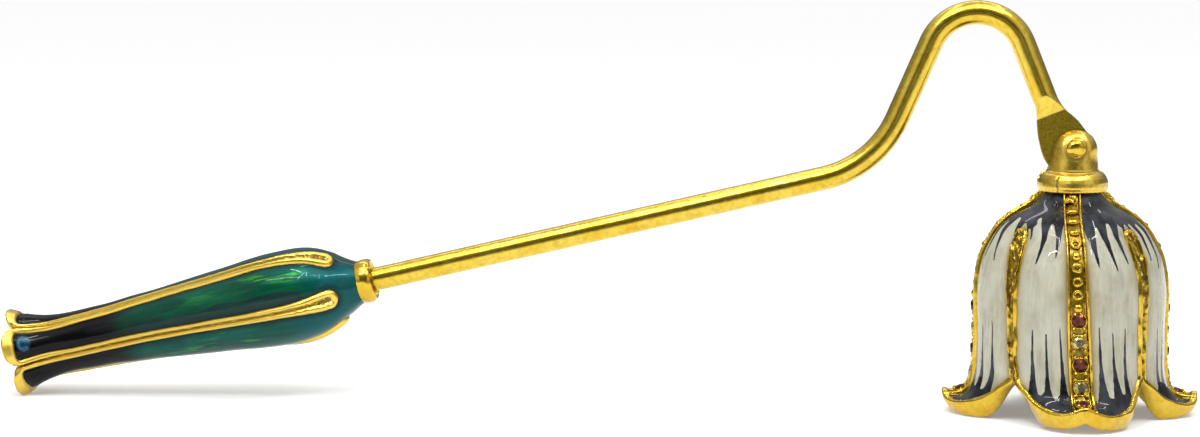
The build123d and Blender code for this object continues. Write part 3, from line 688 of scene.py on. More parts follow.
def ink(w, s, seed, kind, q):
    """Charcoal (1) against pearl (0) on a petal's half."""
    rng = np.random.RandomState(seed)
    z = Z_of(s)
    width = FAR_W(np.clip(s, 0, S_APEX)) - rib_half(s)
    x = (w - rib_half(s)) / width
    wob = 0.16 * waves(q, 2.4, 70 + seed)
    dark = np.zeros(len(w))
    root_top, root_low = 40.6, 6.6
    # the shoulder, whose lower edge dips at each stroke
    edge = 42.2 + 0.3 * waves(q, 3.0, 71 + seed)
    for x0, x1, tip, hw in DOWN[kind]:
        x0, tip = x0 + rng.uniform(-0.03, 0.03), tip + rng.uniform(-0.8, 0.8)
        x1, hw = x1 + rng.uniform(-0.04, 0.04), hw * rng.uniform(0.85, 1.15)
        t = np.clip((root_top + 1 - z) / (root_top + 1 - tip), 0, 1)
        xc = x0 + (x1 - x0) * t ** 1.3
        wide = hw * (1 - t) ** 0.9 * (0.46 + 0.74 * np.exp(-t * 3.0)) + 0.06
        off = np.abs((x - xc) * width)
        dark = np.maximum(dark, step(wide + 0.14, wide - 0.10, off + 0.12 * wob) * (t < 1) * (z < root_top + 1.2))
        edge = edge - 2.0 * np.exp(-((x - x0) * width / (hw + 0.35)) ** 2)
    dark = np.maximum(dark, step(-0.25, 0.35, z - edge))
    low_edge = 5.6 + 0.3 * waves(q, 3.0, 72 + seed) + 1.0 * step(0.8, 1.0, x)
    for x0, x1, tip, hw in UP[kind]:
        x0, tip = x0 + rng.uniform(-0.03, 0.03), tip + rng.uniform(-1.2, 1.0)
        x1, hw = x1 + rng.uniform(-0.03, 0.03), hw * rng.uniform(0.85, 1.15)
        t = np.clip((z - root_low + 2) / (tip - root_low + 2), 0, 1)
        xc = x0 + (x1 - x0) * t
        wide = hw * (1.5 * (1 - t) ** 4 + 0.42 * (1 - t)) + 0.06 * (t < 0.97)
        off = np.abs((x - xc) * width)
        dark = np.maximum(dark, step(wide + 0.15, wide - 0.08, off + 0.1 * wob) * (t < 1))
        low_edge = low_edge + 2.2 * np.exp(-((x - x0) * width / (hw + 0.45)) ** 2)
    dark = np.maximum(dark, step(0.3, -0.3, z - low_edge))
    return dark


def petal_enamels(material):
    names = ["back_right", "back_left", "front_left", "front_right"]
    up, low = rows_of(0.24, 0.3, 14, 44)
    cols_b = np.linspace(0, 1, 54)
    w, s = half_grid(up, low, [], cols_b, inset=0.05)
    rows, cols = w.shape
    w, s = w.ravel(), s.ravel()
    p = petal(w, s)
    n = toward_plane(petal_normal(w, s), p)
    dist, at = to_polyline(p, STRIP_LINE)
    tris = grid_faces(rows, cols)[:, ::-1]
    for quadrant, name in enumerate(names):
        soup = Soup()
        tops, lows, allt, marks = [], [], [], []
        base_n = 0
        for k, mirror in ((quadrant, False), ((quadrant + 1) % 4, True)):
            seed = 40 + 2 * k + mirror
            f = dist - strip_half(at, seed) + 0.05
            t2, lab, (p2, n2, w2, s2, d2, a2), f2 = cut(tris, f, [p, n, w, s, dist, at])
            t2 = t2[lab]
            t2, (p2, n2, w2, s2, d2, a2) = used(t2, p2, n2, w2, s2, d2, a2)
            q2 = turned(p2, k, mirror)
            d_strip = np.maximum(d2 - strip_half(a2, seed), 0)
            d_rib = np.maximum(np.abs(w2) - rib_half(s2), 0) * 1.08
            h = enamel_height(np.minimum(d_strip, d_rib)) + 0.02 * waves(q2, 7.0, 90)
            ivory = ink(w2, s2, seed, (k + mirror) % 2, q2)
            # painted reflection and shade of the gold: the pearl is tinted brownish-yellow close to the gold ribs and
            # strips
            near = np.exp(-np.minimum(d_strip, d_rib) / 0.7)
            tops.append(turned(p2 + n2 * h[:, None], k, mirror))
            lows.append(turned(p2 - n2 * 0.5, k, mirror))
            allt.append((t2[:, ::-1] if mirror else t2) + base_n)
            marks.append(np.stack([ivory, near], 1))
            base_n += len(p2)
        tp, lp, tt, mk = np.concatenate(tops), np.concatenate(lows), np.concatenate(allt), np.concatenate(marks)
        both = np.concatenate([tp, lp], 1)
        _, tt, (tp2, lp2, mk) = weld(tp, tt, 5e-4, (tp, lp, mk))
        m = len(tp2)
        be = border(tt)
        walls = np.concatenate([np.stack([be[:, 1], be[:, 0], be[:, 0] + m], 1),
                                np.stack([be[:, 1], be[:, 0] + m, be[:, 1] + m], 1)])
        soup.add(np.concatenate([tp2, lp2]), np.concatenate([tt, tt[:, ::-1] + m, walls]),
                 ink=np.concatenate([mk[:, 0]] * 2), near=np.concatenate([mk[:, 1]] * 2))
        soup.make("enamel_" + name, material, "cup", "pearl_enamel", ["petal_enamel_" + name], angle=60, join=0, move=settle)


def stones(red, clear):
    """Round stones with a table, eight kite facets and sixteen girdle facets."""
    a8, a16 = np.arange(8) * math.pi / 4, np.arange(16) * math.pi / 8
    z_g0, z_g1, z_k, z_t = 0.18, 0.42, 0.68, 0.98

    def circle(r, z, a):
        return np.stack([r * np.cos(a), r * np.sin(a), np.full(len(a), z)], 1)

    pts = np.concatenate([circle(0.8, z_t, a8), circle(1.12, z_k, a8 + math.pi / 8), circle(1.36, z_g1, a16),
                          circle(1.36, z_g0, a16), circle(0.9, -0.15, a16), [[0, 0, z_t + 0.01]], [[0, 0, -0.15]]])
    t = []
    for i in range(8):
        j = (i + 1) % 8
        k0, k1 = 8 + i, 8 + (i - 1) % 8
        g = lambda n: 16 + n % 16
        t += [(64, i, j), (i, k0, j)]
        t += [(i, k1, g(2 * i)), (i, g(2 * i), k0)]
        t += [(k0, g(2 * i), g(2 * i + 1)), (k0, g(2 * i + 1), g(2 * i + 2))]
    for i in range(16):
        j = (i + 1) % 16
        a, b, c, d = 16 + i, 16 + j, 32 + j, 32 + i
        t += [(a, d, c), (a, c, b), (d, 48 + i, 48 + j), (d, 48 + j, c), (48 + i, 65, 48 + j)]
    pts = np.array(pts) * np.array([1.06, 1.06, 1.0])
    # the table's own middle and the bottom's are points 64 and 65
    t = np.array(t)
    for k, name in enumerate(["right", "back", "left", "front"]):
        for colour, picks, mat in (("red", (0, 2, 4), red), ("clear", (1, 3), clear)):
            soup = Soup()
            for i in picks:
                rng = np.random.RandomState(900 + 10 * k + i)
                a = rng.uniform(0, 0.78)
                c, s_ = math.cos(a), math.sin(a)
                local = pts @ np.array([[c, s_, 0], [-s_, c, 0], [0, 0, 1]])
                tilt = rng.uniform(-0.07, 0.07, 2)
                local = local + np.stack([np.zeros(len(pts)), np.zeros(len(pts)), local[:, 0] * tilt[0] + local[:, 1] * tilt[1]], 1)
                o, ax = rib_place(STONE_S[i], -0.1)
                soup.add(turned(local @ ax + o, k), t)
            soup.make(f"{colour}_gems_{name}", mat, "cup", colour + "_stone", [f"{colour}_stones_{name}"], flat=True, move=settle)


# ------------------------------------------------------------------ handle, along its own axis
HANDLE_A = np.array([-147.67, 0.0, 25.12])
HANDLE_D = np.array([-0.976878, 0.0, -0.213795])
HP = [(4.35, 1.4), (5.15, 2.9), (6.3, 4.6), (7.55, 6.5), (8.7, 8.9), (9.4, 11.4), (9.85, 16.5), (9.65, 22.0),
      (9.1, 27.5), (8.5, 33.0), (7.95, 39.0), (7.4, 44.5), (6.95, 50.0), (6.55, 55.3), (6.3, 60.8), (6.15, 66.4),
      (6.35, 69.5), (6.8, 72.0), (7.5, 74.6), (8.25, 76.6), (9.1, 78.6)]
hp = np.array(HP)
HR = Cubic(hp[:, 1], hp[:, 0])
S_FRONT, S_FLAT = 1.4, 64.0
NOTCH_S, LOBE = 75.9, 2.25


def handle_point(a, r, s):
    """Point at angle a (radians, 0 towards the camera, 90 degrees up), radius r and length s."""
    d1, d2 = np.array([0.0, -1.0, 0.0]), np.array([HANDLE_D[2], 0.0, -HANDLE_D[0]])
    return (HANDLE_A + np.multiply.outer(s, HANDLE_D) + (r * np.cos(a))[..., None] * d1
            + (r * np.sin(a))[..., None] * d2)


def tip_s(delta):
    u = np.clip(1 - np.abs(delta) / 36.0, 0, 1)
    return NOTCH_S + LOBE * (1 - u ** 2.0) ** 0.62


def local_surface(delta, s):
    """Undisturbed surface near a strip at angle 0, in local coordinates (x out from the strip, y across, z along)."""
    r = HR(s)
    across = np.radians(delta) * r
    r = r - 0.95 * step(63, 76, s) * np.exp(-(np.abs(across) / 1.7) ** 1.6)
    r = r + 0.35 * step(60, 76, s) * np.cos(np.radians((36 - np.abs(delta)) * 2.5)).clip(0)
    a = np.radians(delta)
    return np.stack([r * np.cos(a), r * np.sin(a), s], -1)


def handle_grids(n_up, n_low, cols):
    """(delta, s) of a grid over one half sector, from the strip's middle (0) to the lobe's middle (36 degrees)."""
    up = np.concatenate([np.linspace(S_FRONT, 14, int(n_up * 0.36))[:-1], np.linspace(14, S_FLAT, n_up - int(n_up * 0.36))])
    t = np.linspace(0, 1, n_low + 1)[1:]
    d = np.asarray(cols)
    s1 = np.repeat(up[:, None], len(d), 1)
    s2 = S_FLAT + t[:, None] * (tip_s(d)[None] - S_FLAT)
    s = np.concatenate([s1, s2])
    return np.broadcast_to(d, s.shape).copy(), s


HEAD_S = 6.9
hl_s = np.linspace(HEAD_S, NOTCH_S, 150)
hl_d = np.linspace(0, 36, 60)[1:]
HLINE = np.concatenate([local_surface(np.zeros(150), hl_s), local_surface(hl_d, tip_s(hl_d))])
hl_at = np.concatenate([[0], np.cumsum(np.linalg.norm(np.diff(HLINE, axis=0), axis=1))])
H_NOTCH, H_END = float(hl_at[149]), float(hl_at[-1])
HSTRIP = [(0, 2.15), (1.5, 2.15), (4.8, 1.8), (7.5, 1.6), (10.8, 1.4), (15, 1.27), (20, 1.18), (33, 1.12), (55, 1.16),
          (63, 1.3), (68, 1.35)]


def handle_half(at, seed):
    up = np.interp(at, *np.array(HSTRIP).T)
    low = np.interp(at - H_NOTCH, [0, 1.5, 4, H_END - H_NOTCH], [1.35, 1.5, 2.2, 2.55])
    w = np.where(at < H_NOTCH, up, low)
    return w + 0.03 * wave1(at, 14.0, seed) * step(0, 4, at) * step(H_END, H_END - 3, at)


# strips' angles along the belly and at the flared end, in degrees, going down from the top one that shows
STRIPS_BELLY = np.array([59.5, -11.5, -108.0, -163.0, -229.0])
STRIPS_END = np.array([51.0, -18.0, -98.0, -163.0, -236.0])
STRIPS_HEAD = np.array([59.5, -11.5, -88.0, -163.0, -229.0])


def strip_angle(i, s):
    i0, turns = i % 5, i // 5
    f, g = step(42, 72, s), step(11, 24, s)
    return (STRIPS_HEAD[i0] * (1 - g) + STRIPS_BELLY[i0] * g) * (1 - f) + STRIPS_END[i0] * f - 360 * turns


def to_handle(local, sector, mirror):
    """Local points of a half sector carried to their place on the handle. A mirrored half lies below its strip."""
    x, y, s = local[:, 0], local[:, 1], local[:, 2]
    delta = np.degrees(np.arctan2(y, x))
    here = strip_angle(sector, s)
    gap = here - strip_angle(sector + 1, s) if mirror else strip_angle(sector - 1, s) - here
    bend = delta + (gap / 2 - 36) * step(9, 36, delta)
    a = np.radians(here - bend if mirror else here + bend)
    return handle_point(a, np.hypot(x, y), s)


def handle_gold_height(e, at, q, half):
    grain = waves(q, 0.55, 31) * 0.6 + waves(q, 1.3, 32) * 0.5
    lip = step(H_NOTCH - 0.5, H_NOTCH + 3, at)
    wide = np.clip(half - 0.14, 0.7, 1.72)
    ridge = -0.12 + 0.74 * np.sin(np.pi * np.clip(e / wide, 0, 1)) ** 0.72
    ridge = ridge + 0.05 * waves(q, 0.8, 38) * step(0.55, 0.8, e / wide)
    floor = -0.10 + 0.10 * grain
    strip = np.where(e > wide / 2, np.maximum(ridge, floor), ridge)
    flat = -0.12 + 0.56 * (1 - np.exp(-np.maximum(e, 0) / 0.25))
    h = strip * (1 - lip) + flat * lip
    h = np.where(e < 0, -0.12 + 3 * e, h)
    # patina and painted shade: the groove between the strip's two ridges is marked to render darker
    patina_shade_mask = step(wide - 0.10, wide + 0.05, e) * (1 - lip)
    patina_shade_mask = patina_shade_mask * (1 - 0.35 * step(0.6, 1.4, waves(q, 1.0, 39)))
    return h + 0.02 * waves(q, 2.4, 34) * step(0, 0.3, e), patina_shade_mask


def enamel_zones(u, s, gap, q):
    """Slate, painted highlight, teal and drop amounts at fraction u down the gap between two strips, gap 0 facing the
    camera. Slate is a painted grey reflection and the highlight a painted yellow-green band along the gap.
    """
    wob = 0.035 * waves(q, 9.0, 61)
    lead = step(8, 16, s)
    if gap in (0, 3):
        slate = step(0.60, 0.70, u + wob) * lead
        streak = np.exp(-((u - 0.36 + wob) / 0.13) ** 2) * step(9, 14, s) * (0.35 * step(46, 30, s) + 0.75 * step(27, 19, s))
        teal = step(14.5, 6.5, s) + 0.75 * step(0.34, 0.14, u + wob) * lead
    elif gap in (1, 2):
        slate = step(0.62, 0.86, u + wob) * lead + 0.85 * step(0.20, 0.06, u + wob) * step(20, 30, s)
        streak = np.exp(-((u - 0.36 + wob) / 0.15) ** 2) * step(18, 26, s) * step(52, 40, s) * 0.7
        teal = 0.9 * step(20, 9, s) + 0.45
    else:
        slate = 0.62 + 0.3 * step(0.5, 0.2, u + wob)
        streak = np.zeros(len(u))
        teal = np.full(len(u), 0.8)
    drop = np.zeros(len(u))
    if gap == 0:
        d = np.hypot((s - 74.0) / 1.35, (u - 0.47) * 8.6 / 1.55)
        drop = step(1.15, 0.8, d)
    return np.clip(slate, 0, 1), np.clip(streak, 0, 1), np.clip(teal, 0, 1), drop


def handle_parts(gold_mat, enamel_mat):
    cols = np.concatenate([np.linspace(0, 16, 17), np.linspace(16, 36, 12)[1:]])
    d, s = handle_grids(170, 46, cols)
    rows, nc = d.shape
    d, s = d.ravel(), s.ravel()
    p = local_surface(d, s)
    e = 0.02
    n = unit(np.cross(local_surface(d + e, s) - local_surface(d - e, s), local_surface(d, s + e) - local_surface(d, s - e)))
    n[d < 1e-6, 1] = 0
    far = d > 36 - 1e-6
    pm = np.array([-math.sin(math.radians(36)), math.cos(math.radians(36)), 0])
    n[far] -= (n[far] @ pm)[:, None] * pm
    n = unit(n)
    dist, at = to_polyline(p, HLINE)
    tris = grid_faces(rows, nc)
    # grid_faces goes across then along: its normal is cross(across, along), which points out here
    gold, enamel = Soup(), Soup()
    tops, lows, allt, marks, bn = [], [], [], [], 0
    arc = np.linspace(0, math.pi, 11)
    rim = np.array([(rows - 1) * nc + j for j in range(nc)])
    rp = p[rim]
    for sector in range(5):
        for mirror in (False, True):
            seed = 140 + 2 * sector + mirror
            f = dist - handle_half(at, seed)
            t2, lab, (p2, n2, d2, a2), f2 = cut(tris, f, [p, n, dist, at])
            q2 = to_handle(p2, sector, mirror)
            hw2 = handle_half(a2, seed)
            h2, deep = handle_gold_height(hw2 - d2, a2, q2, hw2)
            flip = (lambda t: t[:, ::-1]) if mirror else (lambda t: t)
            gold_t, floor_t = t2[~lab], t2[lab]
            top = to_handle(p2 + n2 * h2[:, None], sector, mirror)
            gt, (gp, gd) = used(gold_t, top, deep)
            gold.add(gp, flip(gt), deep=gd, satin=np.ones(len(gp)))
            floor = to_handle(p2 - n2 * 0.6, sector, mirror)
            ft, (fp,) = used(floor_t, floor)
            gold.add(fp, flip(ft))
            gold_keys = set(map(tuple, np.sort(border(gold_t), 1).tolist()))
            be = np.array([x for x in border(floor_t).tolist() if tuple(sorted(x)) in gold_keys])
            ids, inv = np.unique(be, return_inverse=True)
            inv = inv.reshape(be.shape)
            m = len(ids)
            gold.add(np.concatenate([top[ids], floor[ids]]), flip(np.concatenate([
                np.stack([inv[:, 1], inv[:, 0], inv[:, 0] + m], 1), np.stack([inv[:, 1], inv[:, 0] + m, inv[:, 1] + m], 1)])))
            # rolled edge of the lobe and the dish behind it
            hw_r = handle_half(at[rim], seed)
            hr, _ = handle_gold_height(hw_r - dist[rim], at[rim], to_handle(rp, sector, mirror), hw_r)
            a_pt = rp + n[rim] * hr[:, None]
            rr = np.hypot(rp[:, 0], rp[:, 1])
            thick = 1.75
            b_pt = rp.copy()
            b_pt[:, :2] *= ((rr - thick) / rr)[:, None]
            b_pt[:, 2] -= 0.15
            midp, halfv = (a_pt + b_pt) / 2, (a_pt - b_pt) / 2
            out = np.tile(np.array([0.0, 0, 1.0]), (len(rim), 1))
            band = np.stack([midp + halfv * math.cos(x) + out * 0.52 * math.sin(x) ** 0.8 for x in arc], 1)
            dish = []
            for g in np.linspace(0, 1, 9)[1:]:
                ring_p = b_pt.copy()
                ring_p[:, :2] *= (1 - g) if g < 1 else 0.001
                ring_p[:, 2] = b_pt[:, 2] * (1 - g) + 75.6 * g - 0.9 * math.sin(math.pi * min(g * 1.3, 1)) * (1 - g)
                dish.append(ring_p)
            sheet = np.concatenate([band, np.stack(dish, 1)], 1)
            bq = to_handle(sheet.reshape(-1, 3), sector, mirror)
            wob = 0.04 * waves(bq, 2.6, 36)
            bq = bq + wob[:, None] * HANDLE_D
            bt = grid_faces(len(rim), sheet.shape[1])[:, ::-1]
            gold.add(bq, flip(bt))
            # enamel
            f = dist - handle_half(at, seed) + 0.05
            t3, lab, (p3, n3, d3, a3, u3), f3 = cut(tris, f, [p, n, dist, at, d])
            t3, (p3, n3, d3, a3, u3) = used(t3[lab], p3, n3, d3, a3, u3)
            u3 = u3 / 72 if mirror else 1 - u3 / 72
            dd = np.maximum(d3 - handle_half(a3, seed), 0)
            q3 = to_handle(p3, sector, mirror)
            h3 = -0.12 + 0.34 * (1 - np.exp(-dd / 1.0)) + 0.03 * waves(q3, 8.0, 37)
            tops.append(to_handle(p3 + n3 * h3[:, None], sector, mirror))
            lows.append(to_handle(p3 - n3 * 0.55, sector, mirror))
            allt.append(flip(t3) + bn)
            marks.append(np.stack([dd, p3[:, 2], *enamel_zones(u3, p3[:, 2], sector if mirror else (sector - 1) % 5, q3)], 1))
            bn += len(p3)
    # front face and bore
    az = np.arange(80) * 2 * math.pi / 80
    prof = np.array([(4.4, 1.6), (4.3, 1.36), (2.5, 1.36), (2.5, 6.0)])
    fp = np.concatenate([handle_point(az, np.full(80, r), np.full(80, s_)) for r, s_ in prof])
    gold.add(fp, grid_faces(len(prof), 80, wrap=True)[:, ::-1])
    gold.make("handle_gold", gold_mat, "arm", "gold_casting", ["handle_core"], angle=50)
    tp, lp, tt, mk = np.concatenate(tops), np.concatenate(lows), np.concatenate(allt), np.concatenate(marks)
    _, tt, (tp, lp, mk) = weld(tp, tt, 5e-4, (tp, lp, mk))
    m = len(tp)
    be = border(tt)
    walls = np.concatenate([np.stack([be[:, 1], be[:, 0], be[:, 0] + m], 1), np.stack([be[:, 1], be[:, 0] + m, be[:, 1] + m], 1)])
    enamel.add(np.concatenate([tp, lp]), np.concatenate([tt, tt[:, ::-1] + m, walls]),
               gap=np.tile(mk[:, 0], 2), along=np.tile(mk[:, 1], 2), slate=np.tile(mk[:, 2], 2),
               streak=np.tile(mk[:, 3], 2), teal=np.tile(mk[:, 4], 2), drop=np.tile(mk[:, 5], 2))
    enamel.make("handle_green", enamel_mat, "arm", "green_enamel", ["handle_enamel"], angle=60, join=0)


def ferrule(material):
    prof = np.array([(2.52, 0.2), (2.58, -0.75), (2.78, -1.05), (3.02, -0.7), (3.2, -0.42), (3.45, -0.75), (3.72, -1.45),
                     (4.1, -1.8), (4.46, -1.45), (4.66, -0.7), (4.68, 0.2), (4.58, 0.9), (4.4, 1.4), (4.1, 1.65)])
    u = np.concatenate([[0], np.cumsum(np.hypot(*np.diff(prof, axis=0).T))])
    q = np.linspace(0, u[-1], 44)
    r, s = Cubic(u, prof[:, 0])(q), Cubic(u, prof[:, 1])(q)
    az = np.arange(120) * 2 * math.pi / 120
    a, r2, s2 = np.tile(az, len(q)), np.repeat(r, 120), np.repeat(s, 120)
    pts = handle_point(a, r2, s2)
    f = step(2.6, 4.0, r2)
    r2 = r2 + f * (0.05 * waves(pts, 4.2, 51) + 0.01 * waves(pts, 1.5, 52)) - f * 0.04
    s2 = s2 + f * 0.06 * waves(pts, 5.0, 53)
    pts = handle_point(a, r2, s2)
    soup = Soup()
    soup.add(pts, grid_faces(len(q), 120, wrap=True))
    return soup.make("ferrule_ring", material, "arm", "gold_casting", ["handle_ferrule"], angle=60)


def knuckle(material):
    """The clevis with its hand-finished, slightly lumpy skin, worked from the fitted solid."""
    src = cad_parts["clevis"]
    temp = bpy.data.objects.new("clevis_temp", bpy.data.meshes.new_from_object(src))
    bpy.context.scene.collection.objects.link(temp)
    mod = temp.modifiers.new("remesh", "REMESH")
    mod.mode, mod.voxel_size = "VOXEL", 0.00021
    me = bpy.data.meshes.new_from_object(temp.evaluated_get(bpy.context.evaluated_depsgraph_get()))
    bpy.data.objects.remove(temp)
    n = len(me.vertices)
    co = np.empty(n * 3, np.float32)
    me.vertices.foreach_get("co", co)
    co = co.reshape(-1, 3).astype(float) / MM
    me.calc_loop_triangles()
    t = np.empty(len(me.loop_triangles) * 3, np.int32)
    me.loop_triangles.foreach_get("vertices", t)
    t = t.reshape(-1, 3)
    ed = np.empty(len(me.edges) * 2, np.int32)
    me.edges.foreach_get("vertices", ed)
    ed = ed.reshape(-1, 2)
    bpy.data.meshes.remove(me)
    count = np.bincount(ed.ravel(), minlength=n)[:, None]
    outer = (step(47.0, 48.2, co[:, 2]) * step(1.0, 1.6, np.abs(co[:, 1])))[:, None]
    for i in range(46):
        tot = np.zeros_like(co)
        np.add.at(tot, ed[:, 0], co[ed[:, 1]])
        np.add.at(tot, ed[:, 1], co[ed[:, 0]])
        amount = 0.55 if i % 2 == 0 else -0.50
        if i < 6:
            co = co + 0.5 * (tot / count - co) * (0.35 + 0.65 * outer)
        else:
            co = co + amount * (tot / count - co) * outer * (0.3 + 0.7 * step(49.9, 50.7, co[:, 2]))[:, None]
    fn = np.cross(co[t[:, 1]] - co[t[:, 0]], co[t[:, 2]] - co[t[:, 0]])
    nrm = np.zeros_like(co)
    for j in range(3):
        np.add.at(nrm, t[:, j], fn)
    nrm = unit(nrm)
    lo_, hi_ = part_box("hinge_pin")
    px, pz = (lo_[0] + hi_[0]) / 2 / MM, (lo_[2] + hi_[2]) / 2 / MM
    px, pz = px + 0.1, pz - 0.35
    r = np.hypot(co[:, 0] - px, co[:, 2] - pz)
    face = step(1.4, 2.2, np.abs(co[:, 1]))
    turn = np.degrees(np.arctan2(co[:, 1], co[:, 0]))
    d = 0.06 * waves(co, 5.5, 301) + 0.010 * waves(co, 1.9, 302)
    d = d - 0.16 * np.exp(-((r - 2.1) / 0.55) ** 2)
    d = d * face * step(46.3, 47.0, co[:, 2])
    broad = np.exp(-((90 - np.abs(turn)) / 42.0) ** 4)
    d = d - (0.05 + 0.26 * broad) * np.exp(-((co[:, 2] - 50.15) / 0.30) ** 2)
    seam = np.exp(-(np.radians(turn + 119 + 1.2 * np.sin(co[:, 2] * 2.1)) * 7.0 / 0.16) ** 2)
    d = d - 0.20 * seam * step(46.4, 47.0, co[:, 2]) * step(49.7, 49.0, co[:, 2])
    rr = np.hypot(co[:, 0], co[:, 1])
    faces_out = (nrm[:, 0] * co[:, 0] + nrm[:, 1] * co[:, 1]) / np.maximum(rr, 1e-6)
    goal = np.interp(co[:, 2], [46.3, 46.6, 47.2, 48.0, 48.8, 49.5, 50.0, 50.4], [7.0, 7.22, 7.33, 7.28, 7.05, 6.68, 6.25, 5.9])
    k = step(0.1, 0.5, faces_out) * step(46.25, 46.5, co[:, 2]) * step(50.4, 49.8, co[:, 2]) * step(4.9, 5.5, rr)
    co[:, :2] *= (1 + k * (goal / np.maximum(rr, 1e-6) - 1))[:, None]
    co = co + nrm * d[:, None]
    up = step(50.0, 58.5, co[:, 2])
    co[:, 0] += 0.45 * up
    co[:, 2] += 0.25 * up * step(0.8, 1.3, np.abs(co[:, 1]))
    soup = Soup()
    # patina and painted shade: a dark line along the collar's groove, along the casting seam and round the rivet's
    # dimple
    line = np.exp(-((co[:, 2] - 50.2) / 0.22) ** 2) * broad * 0.9
    soup.add(co, t, satin=np.full(len(co), 0.55), deep=np.maximum(np.maximum(seam * step(49.7, 49.0, co[:, 2]) * 0.9, line),
                                    0.8 * np.exp(-((r - 2.05) / 0.24) ** 2) * face))
    # the rivet's rounded heads
    for side in (-1, 1):
        end = abs(lo_[1] if side < 0 else hi_[1]) / MM
        bp, bt = ball((0, 0, 0), (1.88, 0.66, 1.80), None, 40, 24, seed=611 + side, lump=0.07)
        bp = bp + np.array([px + 0.18, side * (end - 0.12), pz + 0.1])
        soup.add(bp, bt)
    return soup.make("clevis_knuckle", material, "cup", "gold_casting", ["clevis"], angle=70, join=0)


# ------------------------------------------------------------------ rod with its pressed end
LEG_Q, LEG_U, LEG_V = np.array([-2.06, 55.3]), np.array([-0.3746, 0.9272]), np.array([0.9272, 0.3746])
ROD_CORNERS = [(-168.184, 20.630), (-143.27, 26.083), (-40.28, 50.60), (-19.63, 98.76)]
ROD_BENDS = [60.0, 21.9, 10.15]
BLADE_EDGE = np.array([
    (-7.95, 63.6), (-7.6, 61.0), (-7.45, 58.5), (-6.95, 55.6), (-6.15, 53.0), (-4.9, 51.05), (-3.1, 49.95),
    (-1.0, 49.65), (1.2, 50.2), (3.0, 51.6), (3.95, 53.6), (3.95, 55.6), (3.2, 57.4), (2.05, 59.0), (0.75, 60.6),
    (-0.6, 61.8), (-1.9, 62.95), (-2.85, 64.3), (-3.55, 65.6)])


